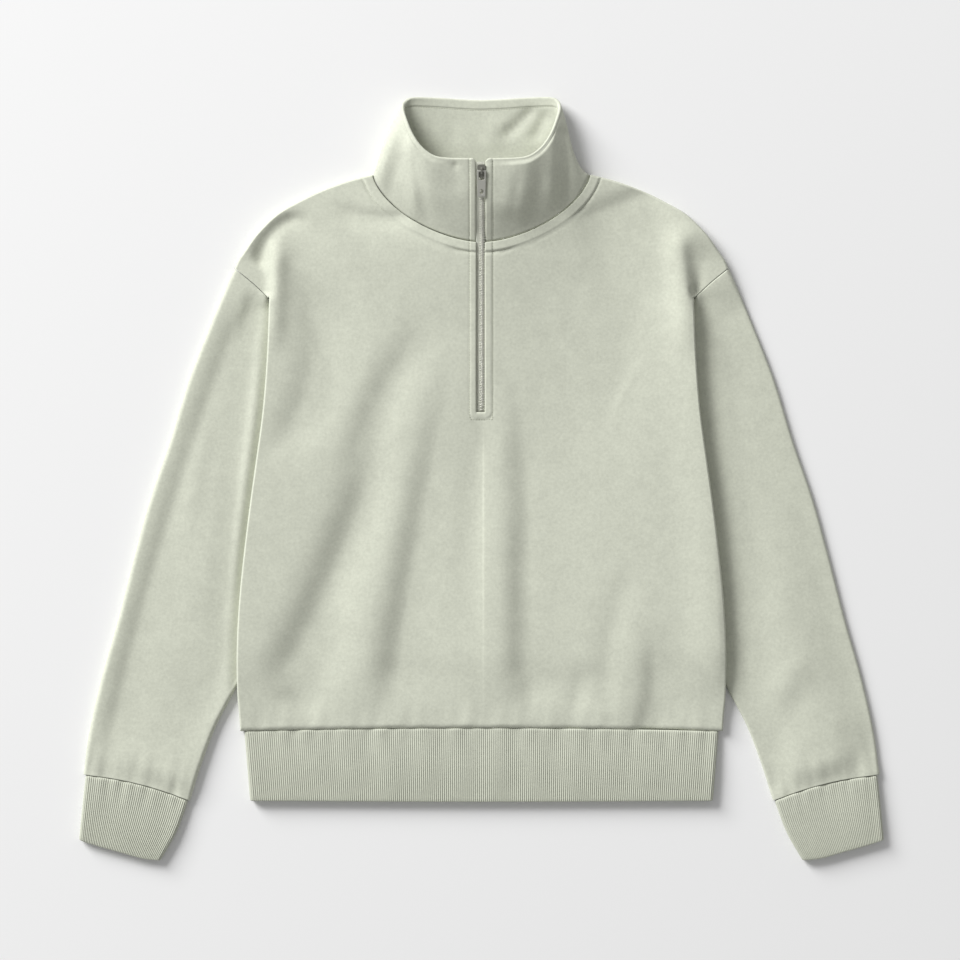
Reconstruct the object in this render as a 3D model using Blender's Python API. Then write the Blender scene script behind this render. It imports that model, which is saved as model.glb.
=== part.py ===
"""Quarter zip sweatshirt, laid flat on its back with its sleeves beside it.

Frame: X across the garment, Y from hem to collar, Z up from the surface it lies on.
The origin lies on that surface, under the middle of the garment's outline.
Sizes below are millimetres; meshes are made in metres. Every cloth piece is a wall with an
outer and an inner skin, and a small gap parts it from the piece it is sewn to.
"""
import math

import bmesh
import bpy
import numpy as np
from mathutils import Vector
from mathutils.geometry import delaunay_2d_cdt

MM = 0.001

# cloth
FLEECE = 2.0            # wall of the brushed fleece
RIB_CLOTH = 2.8         # wall of the doubled 1x1 rib
COLLAR_CLOTH = 3.4      # wall of the doubled fleece collar
SEAM_GAP = 0.3          # gap between two pieces that are sewn together
OUTLINE_SHIFT_Y = -2.45 # brings the middle of the outline to the origin

# body
REST_TOP = 9.0          # top of the front at the hem seam
BODY_RISE = 5.5         # further rise of its middle over the air that the folds hold
HEM_RISE_LENGTH = 80.0  # from the hem seam up, that rise takes so much cloth
SHOULDER_RISE_END = 330.0   # place on Y where it has gone again
SHOULDER_RISE_LENGTH = 110.0
UNDER_LIFT = 4.9        # lift of the back where a sleeve lies under it
LIFT_START = 23.0       # that lift begins so far inside the sleeve's edge
LIFT_END = 10.0         # and is complete so far inside it
EDGE_STACK = 4.7        # height of the side and shoulder seams over the back's underside
CAP_TOP = 9.2           # top of the shoulder cap beside the armhole seam
NECK_RISE = 4.0         # rise of the front where it carries the collar
HEM_SEAM_Y = -246.5     # hem seam at the centre line
HEM_SEAM_DIP = 3.2      # how much lower that seam lies at the sides
HEM_HALF_WIDTH = 241.5

# neck, an egg-shaped curve of the superellipse kind
NECK_HALF_WIDTH = 109.3
NECK_DEPTH = 71.0
NECK_CENTRE_Y = 309.5
NECK_POWER = 1.65

# zip
SLOT_HALF_WIDTH = 6.0
SLOT_END_Y = 69.5
CHAIN_CENTRE_X = 0.9
CHAIN_WIDTH = 5.4
TAPE_THICKNESS = 1.0

# ribs
RIB_PITCH = 2.1
RIB_HEIGHT = 0.6
HEM_BAND_LENGTH = 73.0
HEM_BAND_TOP = 7.6
CUFF_TOP = 7.8

# sleeves
SLEEVE_FLAT = 4.6       # height of a sleeve where the body presses on it
SLEEVE_EDGE = 8.0       # height of its folded outer edge
SLEEVE_CROWN = 2.5      # further rise towards its middle
SLEEVE_END = 7.4        # height at the cuff seam

# right-hand outlines, from the shoulder down or the hem up: x, y
SIDE_LINE = [(241.5, -249.7), (244.5, -203.5), (244.5, -158.5), (242.0, -115.5),
             (237.0, -66.5), (231.0, -18.5), (226.0, 17.5), (219.0, 69.5),
             (214.5, 126.5), (212.3, 183.5)]
ARMHOLE_LINE = [(212.3, 183.5), (229.5, 199.3), (247.0, 213.5)]
SHOULDER_LINE = [(247.0, 213.5), (243.5, 221.5), (236.5, 231.5), (228.5, 243.5), (218.0, 255.5),
                 (205.0, 267.5), (184.5, 279.5), (159.5, 291.5), (128.0, 302.5),
                 (109.7, 307.0)]
BACK_NECK_LINE = [(109.7, 307.0), (96.0, 303.8), (60.0, 297.4), (30.0, 294.6), (0.0, 293.7)]
HIDDEN_ARMHOLE_LINE = [(247.4, 213.1), (229.9, 198.8), (212.7, 183.0), (180.0, 136.5),
                       (152.0, 88.0), (140.0, 56.5)]
SLEEVE_OUTER_LINE = [(247.4, 213.1), (257.0, 191.5), (269.5, 161.5), (293.0, 101.5),
                     (311.5, 41.5), (332.0, -18.5), (348.5, -78.5), (364.0, -138.5),
                     (381.0, -198.5), (394.0, -258.5), (398.5, -293.2)]
SLEEVE_INNER_LINE = [(140.0, 56.5), (192.5, -74.3), (245.0, -205.1), (266.5, -246.5),
                     (281.0, -285.1), (291.8, -319.4)]
CUFF_SEAM_LINE = [(398.5, -293.2), (358.5, -299.2), (324.5, -307.8), (291.8, -319.4)]
CUFF_OUTER_LINE = [(396.3, -294.0), (399.6, -326.0), (402.8, -358.6)]
CUFF_INNER_LINE = [(293.4, -319.6), (304.6, -350.0), (321.4, -379.3)]
CUFF_TOP_LINE = [(396.3, -294.0), (358.5, -299.7), (324.5, -308.3), (293.4, -319.6)]
CUFF_END_LINE = [(402.8, -358.6), (390.0, -362.9), (361.0, -371.2), (339.0, -377.2),
                 (321.4, -379.3)]

# where the edge of a sleeve lies under the body: y, x
SLEEVE_UNDER_BODY = [(-226.0, 262.0), (-205.1, 245.0), (-74.3, 192.5), (56.5, 140.0),
                     (88.0, 152.0), (136.5, 180.0), (183.1, 212.7), (190.0, 225.0),
                     (200.0, 250.0), (218.0, 280.0)]

# main folds of the front: start x, start y, end x, end y, bow of the middle towards the
# start's left hand, half width on the right hand and on the left hand, height (a trough is
# negative), shares of the length over which it grows and fades
FRONT_FOLDS = [
    (-36.2, 177.7, -141.5, -16.0, -10.3, 18.3, 22.8, -3.9, 0.40, 0.35),
    (-74.8, 135.5, -209.7, -221.0, 15.1, 21.3, 30.8, -7.7, 0.35, 0.15),
    (-22.3, 138.3, -90.0, -237.5, -3.4, 19.6, 67.9, -7.4, 0.35, 0.15),
    (34.8, 137.2, 52.2, -241.5, 6.4, 18.0, 85.0, -6.3, 0.35, 0.12),
    (32.8, 173.8, -5.4, -225.0, -21.7, 17.1, 17.2, -2.0, 0.40, 0.40),
    (166.2, -130.4, 150.4, -288.8, 15.5, 12.3, 42.5, -4.1, 0.40, 0.12),
    (151.9, -67.6, 120.8, -232.2, -4.8, 12.8, 13.2, -1.6, 0.40, 0.12),
    (107.8, -174.0, 78.7, -279.6, -1.3, 8.6, 12.7, -1.6, 0.40, 0.20),
    (-203.4, 247.4, -223.4, 6.4, 52.3, 20.4, 40.5, -5.1, 0.35, 0.30),
    (197.2, 294.5, 118.9, 0.5, -18.7, 139.7, 44.7, -5.5, 0.40, 0.40),
    (-168.7, 271.5, -205.4, 221.7, -0.2, 10.0, 47.4, -2.5, 0.30, 0.30),
    (-156.3, 279.6, -58.4, 267.8, -9.9, 12.9, 7.2, -2.5, 0.30, 0.30),
    (83.0, 252.1, 195.6, 297.6, 1.3, 61.6, 11.5, -4.6, 0.30, 0.30),
    (147.4, 267.0, 215.3, 199.3, 3.8, 10.0, 7.3, -0.8, 0.30, 0.30),
    (-134.6, -119.9, -199.8, -233.4, 16.1, 21.0, 26.5, -4.2, 0.40, 0.15),
    (36.9, -24.1, 36.8, -207.4, 0.8, 11.8, 10.7, -1.9, 0.40, 0.12),
    (207.0, 120.0, 196.0, 262.0, 0.0, 14.0, 14.0, 4.5, 0.35, 0.20),
    (-207.0, 120.0, -203.0, 250.0, 0.0, 10.0, 10.0, 3.5, 0.35, 0.20),
]
# main folds of each sleeve, in the same columns
LEFT_SLEEVE_FOLDS = [(-231.5, 190.0, -368.5, -228.0, -18.0, 9.0, 12.0, -2.8, 0.25, 0.20)]
RIGHT_SLEEVE_FOLDS = [
    (318.5, -172.0, 291.0, -228.0, 0.0, 9.0, 9.0, -2.2, 0.35, 0.20),
    (334.0, -176.0, 312.0, -236.0, 0.0, 10.0, 10.0, 1.6, 0.35, 0.20),
]

# collar, outer skin, from the zip edge round to the centre back:
# base x, base y, base z (None where it stands on the front), top x, top y, top z
COLLAR_ROWS = [
    (6.0, 239.4, None, 5.9, 318.7, 40.0),
    (22.0, 242.2, None, 19.8, 318.8, 40.0),
    (40.0, 247.6, None, 34.6, 319.3, 39.2),
    (60.0, 256.5, None, 47.6, 321.7, 38.0),
    (78.0, 267.7, None, 59.5, 330.1, 36.0),
    (91.5, 279.7, None, 69.0, 343.2, 32.5),
    (101.0, 291.0, None, 75.6, 359.2, 26.5),
    (107.0, 301.3, 9.0, 79.2, 371.4, 18.5),
    (107.6, 307.0, 5.0, 78.0, 379.5, 11.0),
    (98.0, 305.3, 1.2, 70.0, 383.0, 5.0),
    (66.0, 299.2, 0.0, 45.0, 382.6, 1.0),
    (0.0, 294.2, 0.0, 0.0, 380.2, 0.0),
]
COLLAR_BULGE = 3.0

# metal
SLIDER_Y = 308.3        # the pull's hinge lies here
SLIDER_PLATE = 1.1
BRIDGE_HOLE = 2.4
BAR_THICKNESS = 1.5
PULL_TILT = 3.0         # degrees that the pull's tip hangs below the slider's plane
PULL_LENGTH = 28.0
PULL_WIDTH = 9.0


def srgb(red, green, blue):
    """Linear colour of an 8-bit display colour."""
    return [((value / 255.0 + 0.055) / 1.055) ** 2.4 for value in (red, green, blue)] + [1.0]


def material(name, colour, roughness, metallic=0.0):
    made = bpy.data.materials.new(name)
    made.use_nodes = True
    shader = made.node_tree.nodes["Principled BSDF"]
    shader.inputs["Base Color"].default_value = colour
    shader.inputs["Roughness"].default_value = roughness
    shader.inputs["Metallic"].default_value = metallic
    made.diffuse_color = colour
    return made


def ramp(value):
    """Soft step from 0 to 1."""
    value = np.clip(value, 0.0, 1.0)
    return value * value * (3.0 - 2.0 * value)


def smooth_path(points, samples=240):
    """Function of 0 to 1 that walks at an even pace along a smooth curve through points."""
    points = np.array(points, float)
    knots = np.insert(np.cumsum(np.linalg.norm(np.diff(points, axis=0), axis=1)), 0, 0.0)
    slopes = np.gradient(points, knots, axis=0)
    place = np.linspace(0.0, knots[-1], samples)
    span = np.clip(np.searchsorted(knots, place, side="right") - 1, 0, len(knots) - 2)
    length = (knots[span + 1] - knots[span])[:, None]
    t = (place - knots[span])[:, None] / length
    fine = ((2 * t**3 - 3 * t**2 + 1) * points[span] + (t**3 - 2 * t**2 + t) * length * slopes[span]
            + (3 * t**2 - 2 * t**3) * points[span + 1] + (t**3 - t**2) * length * slopes[span + 1])
    walked = np.insert(np.cumsum(np.linalg.norm(np.diff(fine, axis=0), axis=1)), 0, 0.0)

    def at(fraction):
        place = np.asarray(fraction, float) * walked[-1]
        return np.stack([np.interp(place, walked, column) for column in fine.T], axis=-1)

    at.length = walked[-1]
    return at


def fold_field(x, y, folds):
    """Sum of soft troughs and ridges, each along a bowed line that fades at its ends."""
    total = np.zeros_like(x)
    for x0, y0, x1, y1, bow, right_width, left_width, height, grow, fade in folds:
        length = math.hypot(x1 - x0, y1 - y0)
        along_x, along_y = (x1 - x0) / length, (y1 - y0) / length
        along = ((x - x0) * along_x + (y - y0) * along_y) / length
        held = np.clip(along, 0.0, 1.0)
        across = (y - y0) * along_x - (x - x0) * along_y - bow * 4.0 * held * (1.0 - held)
        ends = ramp(along / grow) * ramp((1.0 - along) / fade)
        half_width = np.where(across < 0.0, right_width, left_width)
        total += height * ends * np.exp(-((across / half_width) ** 2))
    return total


def sleeve_edge_under_body(y):
    rows = np.array(SLEEVE_UNDER_BODY)
    return np.interp(y, rows[:, 0], rows[:, 1], left=300.0, right=300.0)


def under_height(x, y):
    """Underside of the back: on the surface, and lifted where it lies on a sleeve."""
    climb = (np.abs(x) - sleeve_edge_under_body(y) + LIFT_START) / (LIFT_START - LIFT_END)
    return UNDER_LIFT * ramp(climb)


def shoulder_cap(x, y):
    """Share of the low shoulder cap, outside the fold that runs up from the side line."""
    above = y - SIDE_LINE[-1][1]
    crest = SIDE_LINE[-1][0] - 0.12 * above
    width = 9.0 + 0.35 * np.maximum(above, 0.0)
    reach = ramp((above + 4.0) / 12.0) * ramp((70.0 - above) / 35.0)
    return reach * ramp((np.abs(x) - crest + 6.0) / width)


def front_height(x, y):
    """Top of the front: over the back, up at the collar, with the main folds."""
    under = under_height(x, y)
    neck = NECK_RISE * np.exp(-((x / 75.0) ** 2) - ((y - 240.0) / 60.0) ** 2)
    rise = BODY_RISE * ramp((y - HEM_SEAM_Y) / HEM_RISE_LENGTH)
    rise = rise * ramp((SHOULDER_RISE_END - y) / SHOULDER_RISE_LENGTH)
    height = REST_TOP + rise + neck + fold_field(x, y, FRONT_FOLDS)
    cap = shoulder_cap(x, y)
    height = height * (1.0 - cap) + CAP_TOP * cap
    lowest = under + 2.0 * FLEECE + SEAM_GAP + 0.8
    spare = height - lowest
    return lowest + 0.5 * (spare + np.sqrt(spare * spare + 1.0))


def neck_points(count):
    """Right half of the front neck curve, from the shoulder down to the slot."""
    turn = np.linspace(0.07, math.pi / 2, 400)
    curve = np.stack([NECK_HALF_WIDTH * np.cos(turn) ** (2.0 / NECK_POWER),
                      NECK_CENTRE_Y - NECK_DEPTH * np.sin(turn) ** (2.0 / NECK_POWER)], axis=-1)
    curve = curve[curve[:, 0] > SLOT_HALF_WIDTH]
    end = [[SLOT_HALF_WIDTH, curve[-1, 1]]]
    path = smooth_path(np.concatenate([[SHOULDER_LINE[-1]], curve[8::8], end]))
    return path(np.linspace(0.0, 1.0, count))


def hem_seam_y(x):
    return HEM_SEAM_Y - HEM_SEAM_DIP * (x / HEM_HALF_WIDTH) ** 2


def stretch(points, step):
    """Even points along a smooth line, first end left out."""
    path = smooth_path(points)
    count = max(2, int(round(path.length / step)))
    return path(np.linspace(0.0, 1.0, count + 1))[1:]


def panel_outline(is_front, step):
    """Closed outline of a body panel, with how each stretch of its edge turns down.

    Columns of the result: x, y, turn of the edge in degrees, radius of that turn (0: worked
    out from the seam height).
    """
    hem_x = np.linspace(0.0, HEM_HALF_WIDTH, int(HEM_HALF_WIDTH / step) + 1)[1:]
    hem = np.stack([hem_x, hem_seam_y(hem_x)], axis=-1)
    parts = [(hem, 50.0 if is_front else 0.0, 6.0)]
    parts.append((stretch(SIDE_LINE, step), 90.0, 0.0))
    parts.append((stretch(ARMHOLE_LINE, step * 0.6), 40.0 if is_front else 0.0, 3.0))
    parts.append((stretch(SHOULDER_LINE, step), 90.0, 0.0))
    if is_front:
        parts.append((neck_points(18)[1:], 20.0, 6.0))
        slot_y = np.linspace(neck_points(18)[-1, 1], SLOT_END_Y, 12)[1:]
        slot = np.stack([np.full_like(slot_y, SLOT_HALF_WIDTH), slot_y], axis=-1)
        parts.append((slot, 30.0, 4.0))
    else:
        parts.append((stretch(BACK_NECK_LINE, step), 0.0, 6.0))
    rows = [np.column_stack([points, np.full(len(points), turn), np.full(len(points), radius)])
            for points, turn, radius in parts]
    right = np.concatenate(rows)
    left = right[::-1] * [-1.0, 1.0, 1.0, 1.0]
    if not is_front:
        left = left[1:]
    centre_hem = [[0.0, hem_seam_y(0.0), parts[0][1], parts[0][2]]]
    return np.concatenate([centre_hem, right, left])


def inward_offsets(loop):
    """Unit inward direction at each point, and the same stretched to keep corners mitred."""
    ahead = np.roll(loop, -1, axis=0) - loop
    ahead /= np.linalg.norm(ahead, axis=1)[:, None]
    normal = np.stack([-ahead[:, 1], ahead[:, 0]], axis=-1)
    before = np.roll(normal, 1, axis=0)
    mitre = (normal + before) / (1.0 + (normal * before).sum(axis=1))[:, None]
    return mitre / np.linalg.norm(mitre, axis=1)[:, None], mitre


def lattice(loop, spacing):
    """Staggered points over a loop's whole extent."""
    rows = np.arange(loop[:, 1].min(), loop[:, 1].max(), spacing * 0.866)
    reach = np.abs(loop[:, 0]).max()
    columns = np.arange(-reach, reach, spacing)
    x, y = np.meshgrid(columns, rows)
    x = x + (np.arange(len(rows)) % 2)[:, None] * spacing / 2.0
    return np.stack([x.ravel(), y.ravel()], axis=-1)


def lift_lines(spacing):
    """Points along the foot and the head of the rise over each sleeve's edge."""
    y = np.arange(SLEEVE_UNDER_BODY[0][0], SLEEVE_UNDER_BODY[-1][0], spacing)
    lines = [np.stack([side * (sleeve_edge_under_body(y) - inset), y], axis=-1)
             for side in (-1.0, 1.0) for inset in (LIFT_START, LIFT_END)]
    return np.concatenate(lines)


def keep_inside(points, loop, margin):
    """Those points that lie inside a closed loop, at least margin from its edge."""
    start = loop[None]
    run = np.roll(loop, -1, axis=0)[None] - start
    away = points[:, None] - start
    share = np.clip((away * run).sum(axis=2) / (run * run).sum(axis=2), 0.0, 1.0)
    distance = np.linalg.norm(away - share[..., None] * run, axis=2).min(axis=1)
    point_y = points[:, None, 1]
    above = (start[..., 1] > point_y) != (start[..., 1] + run[..., 1] > point_y)
    rise = np.where(run[..., 1] == 0.0, 1.0, run[..., 1])
    cross_x = start[..., 0] + (point_y - start[..., 1]) / rise * run[..., 0]
    inside = (above & (points[:, None, 0] < cross_x)).sum(axis=1) % 2 == 1
    return points[inside & (distance > margin)]


def finish_mesh(name, points, faces, finish):
    """Object from millimetre points, one closed body with its faces outward."""
    mesh = bpy.data.meshes.new(name)
    mesh.from_pydata((np.asarray(points) * MM).tolist(), [], faces)
    work = bmesh.new()
    work.from_mesh(mesh)
    bmesh.ops.recalc_face_normals(work, faces=work.faces)
    bmesh.ops.triangulate(work, faces=work.faces)
    work.to_mesh(mesh)
    work.free()
    mesh.shade_smooth()
    mesh.set_sharp_from_angle(angle=math.radians(40.0))
    mesh.materials.append(finish)
    made = bpy.data.objects.new(name, mesh)
    bpy.context.collection.objects.link(made)
    return made


def body_panel(name, is_front, step, spacing, finish):
    """Front or back: rings of points round its outline, a lattice inside, two skins."""
    outline = panel_outline(is_front, step)
    loop, turn, radius = outline[:, :2], np.radians(outline[:, 2]), outline[:, 3]
    facing = 1.0 if is_front else -1.0
    height = front_height if is_front else under_height
    seam = under_height(loop[:, 0], loop[:, 1]) + EDGE_STACK
    rolled = height(loop[:, 0], loop[:, 1]) - seam if is_front else EDGE_STACK - SEAM_GAP
    radius = np.where(radius == 0.0, rolled, radius)
    at_corner = (turn != np.roll(turn, 1)) | (turn != np.roll(turn, -1))
    turn, radius = (np.where(at_corner, (row + np.roll(row, 1) + np.roll(row, -1)) / 3.0, row)
                    for row in (turn, radius))
    unit, mitre = inward_offsets(loop)
    plan, turns, radii, outward = [], [], [], []
    rings = 3 if is_front else 2
    for ring in range(rings):
        share = ring / (rings - 1)
        ring_turn = turn * (1.0 - share)
        inset = radius * (np.sin(turn) - np.sin(ring_turn)) + 3.0 * share
        plan.append(loop + mitre * inset[:, None])
        turns.append(ring_turn)
        radii.append(radius)
        outward.append(-unit)
    inner = keep_inside(lattice(loop, spacing), loop, 9.5 + 0.35 * step)
    if not is_front:
        inner = np.concatenate([inner, keep_inside(lift_lines(0.7 * step), loop, 9.5)])
    plan.append(inner)
    turns.append(np.zeros(len(inner)))
    radii.append(np.ones(len(inner)))
    outward.append(np.zeros((len(inner), 2)))
    plan, turns, radii, outward = map(np.concatenate, (plan, turns, radii, outward))
    x, y = plan.T
    z = height(x, y) - facing * radii * (1.0 - np.cos(turns))
    slope_x = (height(x + 0.5, y) - height(x - 0.5, y)) / 1.0
    slope_y = (height(x, y + 0.5) - height(x, y - 0.5)) / 1.0
    upward = np.stack([-slope_x, -slope_y, np.ones_like(x)], axis=-1)
    upward /= np.linalg.norm(upward, axis=1)[:, None]
    sideways = np.column_stack([outward, np.zeros(len(x))])
    normal = facing * upward * np.cos(turns)[:, None] + sideways * np.sin(turns)[:, None]
    normal /= np.linalg.norm(normal, axis=1)[:, None]
    outer = np.column_stack([x, y, z])
    skins = np.concatenate([outer, outer - FLEECE * normal])
    size = len(loop)
    ring_edges = [(ring * size + i, ring * size + (i + 1) % size)
                  for ring in range(rings) for i in range(size)]
    plan_points = [Vector(point) for point in plan]
    result = delaunay_2d_cdt(plan_points, ring_edges, [list(range(size))], 1, 1e-6)
    source = [origins[0] for origins in result[3]]
    faces = []
    for triangle in result[2]:
        corners = [source[corner] for corner in triangle]
        faces.append(corners)
        faces.append([corner + len(x) for corner in reversed(corners)])
    for i in range(size):
        following = (i + 1) % size
        faces.append([following, i, i + len(x), following + len(x)])
    return finish_mesh(name, skins, faces, finish)


def patch(q, t, start_line, end_line, outer_line, inner_line):
    """Point of the sheet stretched between four edge curves (a Coons patch)."""
    q3, t3 = q[..., None], t[..., None]
    between_ends = (1.0 - t3) * start_line(q) + t3 * end_line(q)
    between_sides = (1.0 - q3) * outer_line(t) + q3 * inner_line(t)
    corners = ((1.0 - t3) * ((1.0 - q3) * start_line(0.0) + q3 * start_line(1.0))
               + t3 * ((1.0 - q3) * end_line(0.0) + q3 * end_line(1.0)))
    return between_ends + between_sides - corners


def loop_strip(lower, upper):
    """Faces between two closed rings of point numbers that may differ in count."""
    faces = []
    a, b = 0, 0
    while a < len(lower) or b < len(upper):
        step_a = (a + 1) / len(lower)
        step_b = (b + 1) / len(upper)
        if a < len(lower) and (b >= len(upper) or step_a <= step_b):
            faces.append([lower[a], lower[(a + 1) % len(lower)], upper[b % len(upper)]])
            a += 1
        else:
            faces.append([upper[(b + 1) % len(upper)], upper[b % len(upper)], lower[a % len(lower)]])
            b += 1
    return faces


def tube(name, outer, inner, finish):
    """Open-ended tube from rings of outer and inner points, ring 0 at one end."""
    points, rings, faces = [], [], []
    for ring in list(outer) + list(inner):
        rings.append(list(range(len(points), len(points) + len(ring))))
        points.extend(ring)
    outer_rings, inner_rings = rings[:len(outer)], rings[len(outer):]
    for skin in (outer_rings, inner_rings):
        for lower, upper in zip(skin, skin[1:]):
            size = len(lower)
            for i in range(size):
                j = (i + 1) % size
                faces.append([lower[i], lower[j], upper[j], upper[i]])
    faces += loop_strip(outer_rings[0], inner_rings[0])
    faces += loop_strip(outer_rings[-1], inner_rings[-1])
    return finish_mesh(name, points, faces, finish)


def flat_section(width, edge_radii, wall, top_count, bottom_count):
    """Ring of a flattened tube: places across the width, and rise as parts of its height.

    Columns: place across, how far the place is a top point (1), bottom point (0) or on a
    rounded edge (between). The ring runs bottom to top round the outer edge first.
    """
    outer_radius, inner_radius = edge_radii
    turn = np.radians([-90.0, -45.0, 0.0, 45.0, 90.0])
    outer_x = outer_radius - (outer_radius - wall) * np.cos(turn)
    inner_x = width - inner_radius + (inner_radius - wall) * np.cos(turn)
    rise = 0.5 + 0.5 * np.sin(turn)
    top = np.linspace(outer_radius, width - inner_radius, top_count + 2)[1:-1]
    bottom = np.linspace(width - inner_radius, outer_radius, bottom_count + 2)[1:-1]
    across = np.concatenate([outer_x, top, inner_x[::-1], bottom])
    up = np.concatenate([rise, np.ones(top_count), rise[::-1], np.zeros(bottom_count)])
    return across, up


def sleeve(side, folds, name, finish):
    """Flattened fleece tube from the armhole to the cuff seam."""
    lines = [smooth_path(line) for line in
             (HIDDEN_ARMHOLE_LINE, CUFF_SEAM_LINE, SLEEVE_OUTER_LINE, SLEEVE_INNER_LINE)]
    stations = np.linspace(0.0, 1.0, 19) ** 0.94
    side_y, side_x = zip(*[(y, x) for x, y in SIDE_LINE + [(196.0, 200.0), (175.0, 220.0)]])
    outer, inner = [], []
    for station in stations:
        ends = patch(np.array([0.0, 1.0]), np.full(2, station), *lines)
        width = np.linalg.norm(ends[1] - ends[0])

        def top_height(across):
            place = patch(across / width, np.full(len(across), station), *lines)
            x, y = place.T
            outside = x - np.interp(y, side_y, side_x)
            swell = ramp(across / 45.0) * ramp((width - across) / 40.0)
            free = SLEEVE_EDGE + SLEEVE_CROWN * swell + fold_field(x * side, y, folds)
            seam_share = ramp((station - 0.93) / 0.07)
            free = free + (SLEEVE_END - free) * seam_share
            pressed = ramp((outside - 8.0) / 26.0)
            gathers = 0.9 * np.cos(across * 0.55) * ramp((station - 0.9) / 0.1) * pressed
            return place, SLEEVE_FLAT + (free - SLEEVE_FLAT) * pressed - np.abs(gathers)

        radii = top_height(np.array([4.0, width - 4.0]))[1] / 2.0
        for rings, wall in ((outer, 0.0), (inner, FLEECE)):
            across, up = flat_section(width, radii, wall, 11, 2)
            place, height = top_height(across)
            on_edge = (up < 1.0) & (up > 0.0)
            height = np.where(on_edge, 2.0 * np.where(across < width / 2, *radii), height)
            z = wall + up * (height - 2.0 * wall)
            rings.append(np.column_stack([place[:, 0] * side, place[:, 1], z]))
    return tube(name, outer, inner, finish)


def ribbed_tube(name, width_lines, top, ribs, finish, mirror=1.0):
    """Flattened tube of doubled rib: ribs raised in its outer top, all else plain."""
    start_line, end_line, outer_line, inner_line = width_lines
    spans = [(0.0, 0.0), (0.965, 0.0), (1.0, 0.9)]
    radius = top / 2.0
    outer, inner = [], []
    for t, drop in spans:
        ends = patch(np.array([0.0, 1.0]), np.full(2, t), *width_lines)
        width = np.linalg.norm(ends[1] - ends[0])
        across, up = flat_section(width, (radius, radius), 0.0, 2 * ribs - 1, 6)
        ridge = np.zeros(len(across))
        on_top = slice(5, 5 + 2 * ribs - 1)
        ridge[on_top] = RIB_HEIGHT * (np.arange(2 * ribs - 1) % 2 == 0) * (drop == 0.0)
        place = patch(across / width, np.full(len(across), t), *width_lines)
        z = up * (top - ridge - drop) + (1.0 - up) * drop * 0.5
        outer.append(np.column_stack([place[:, 0] * mirror, place[:, 1], z]))
    for t in (0.0, 1.0):
        ends = patch(np.array([0.0, 1.0]), np.full(2, t), *width_lines)
        width = np.linalg.norm(ends[1] - ends[0])
        across, up = flat_section(width, (radius, radius), RIB_CLOTH, 13, 13)
        place = patch(across / width, np.full(len(across), t), *width_lines)
        z = RIB_CLOTH + up * (top - RIB_HEIGHT - 2.0 * RIB_CLOTH)
        inner.append(np.column_stack([place[:, 0] * mirror, place[:, 1], z]))
    return tube(name, outer, inner, finish)


def hem_band(finish):
    """Rib band of the hem, sewn to the lower edges of front and back."""
    seam_x = np.linspace(-237.5, 237.5, 9)
    seam = smooth_path(np.column_stack([seam_x, hem_seam_y(seam_x) - SEAM_GAP]))
    end_y = HEM_SEAM_Y - HEM_BAND_LENGTH
    end = smooth_path([(-231.6, end_y), (0.0, end_y - 1.0), (231.6, end_y)])
    left = smooth_path([seam(0.0), (seam(0.0) + end(0.0)) / 2.0, end(0.0)])
    right = smooth_path([seam(1.0), (seam(1.0) + end(1.0)) / 2.0, end(1.0)])
    ribs = int((2 * 237.5 - HEM_BAND_TOP) / RIB_PITCH)
    return ribbed_tube("hem_band", (seam, end, left, right), HEM_BAND_TOP, ribs, finish)


def cuff(side, name, finish):
    lines = [smooth_path(line) for line in
             (CUFF_TOP_LINE, CUFF_END_LINE, CUFF_OUTER_LINE, CUFF_INNER_LINE)]
    ribs = int((lines[0].length - CUFF_TOP) / RIB_PITCH)
    return ribbed_tube(name, lines, CUFF_TOP, ribs, finish, mirror=side)


def collar_rows(count):
    """Base and top points all round the collar, from the right zip edge to the left one."""
    half = []
    for base_x, base_y, base_z, top_x, top_y, top_z in COLLAR_ROWS:
        if base_z is None:
            base_z = float(front_height(np.array([base_x]), np.array([base_y]))[0]) - 0.6
        half.append((base_x, base_y, base_z, top_x, top_y, top_z))
    half = np.array(half)
    other = half[-2::-1] * [-1.0, 1.0, 1.0, -1.0, 1.0, 1.0]
    rows = np.concatenate([half, other])
    knots = np.arange(len(rows), dtype=float)
    slopes = np.gradient(rows, axis=0)
    place = np.linspace(0.0, knots[-1], count)
    span = np.clip(place.astype(int), 0, len(rows) - 2)
    t = (place - span)[:, None]
    return ((2 * t**3 - 3 * t**2 + 1) * rows[span] + (t**3 - 2 * t**2 + t) * slopes[span]
            + (3 * t**2 - 2 * t**3) * rows[span + 1] + (t**3 - t**2) * slopes[span + 1])


def grid_normals(points):
    """Unit normals of a grid of points, from its two directions."""
    along = np.gradient(points, axis=0)
    across = np.gradient(points, axis=1)
    normal = np.cross(along, across)
    return normal / np.linalg.norm(normal, axis=2)[..., None]


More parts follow.
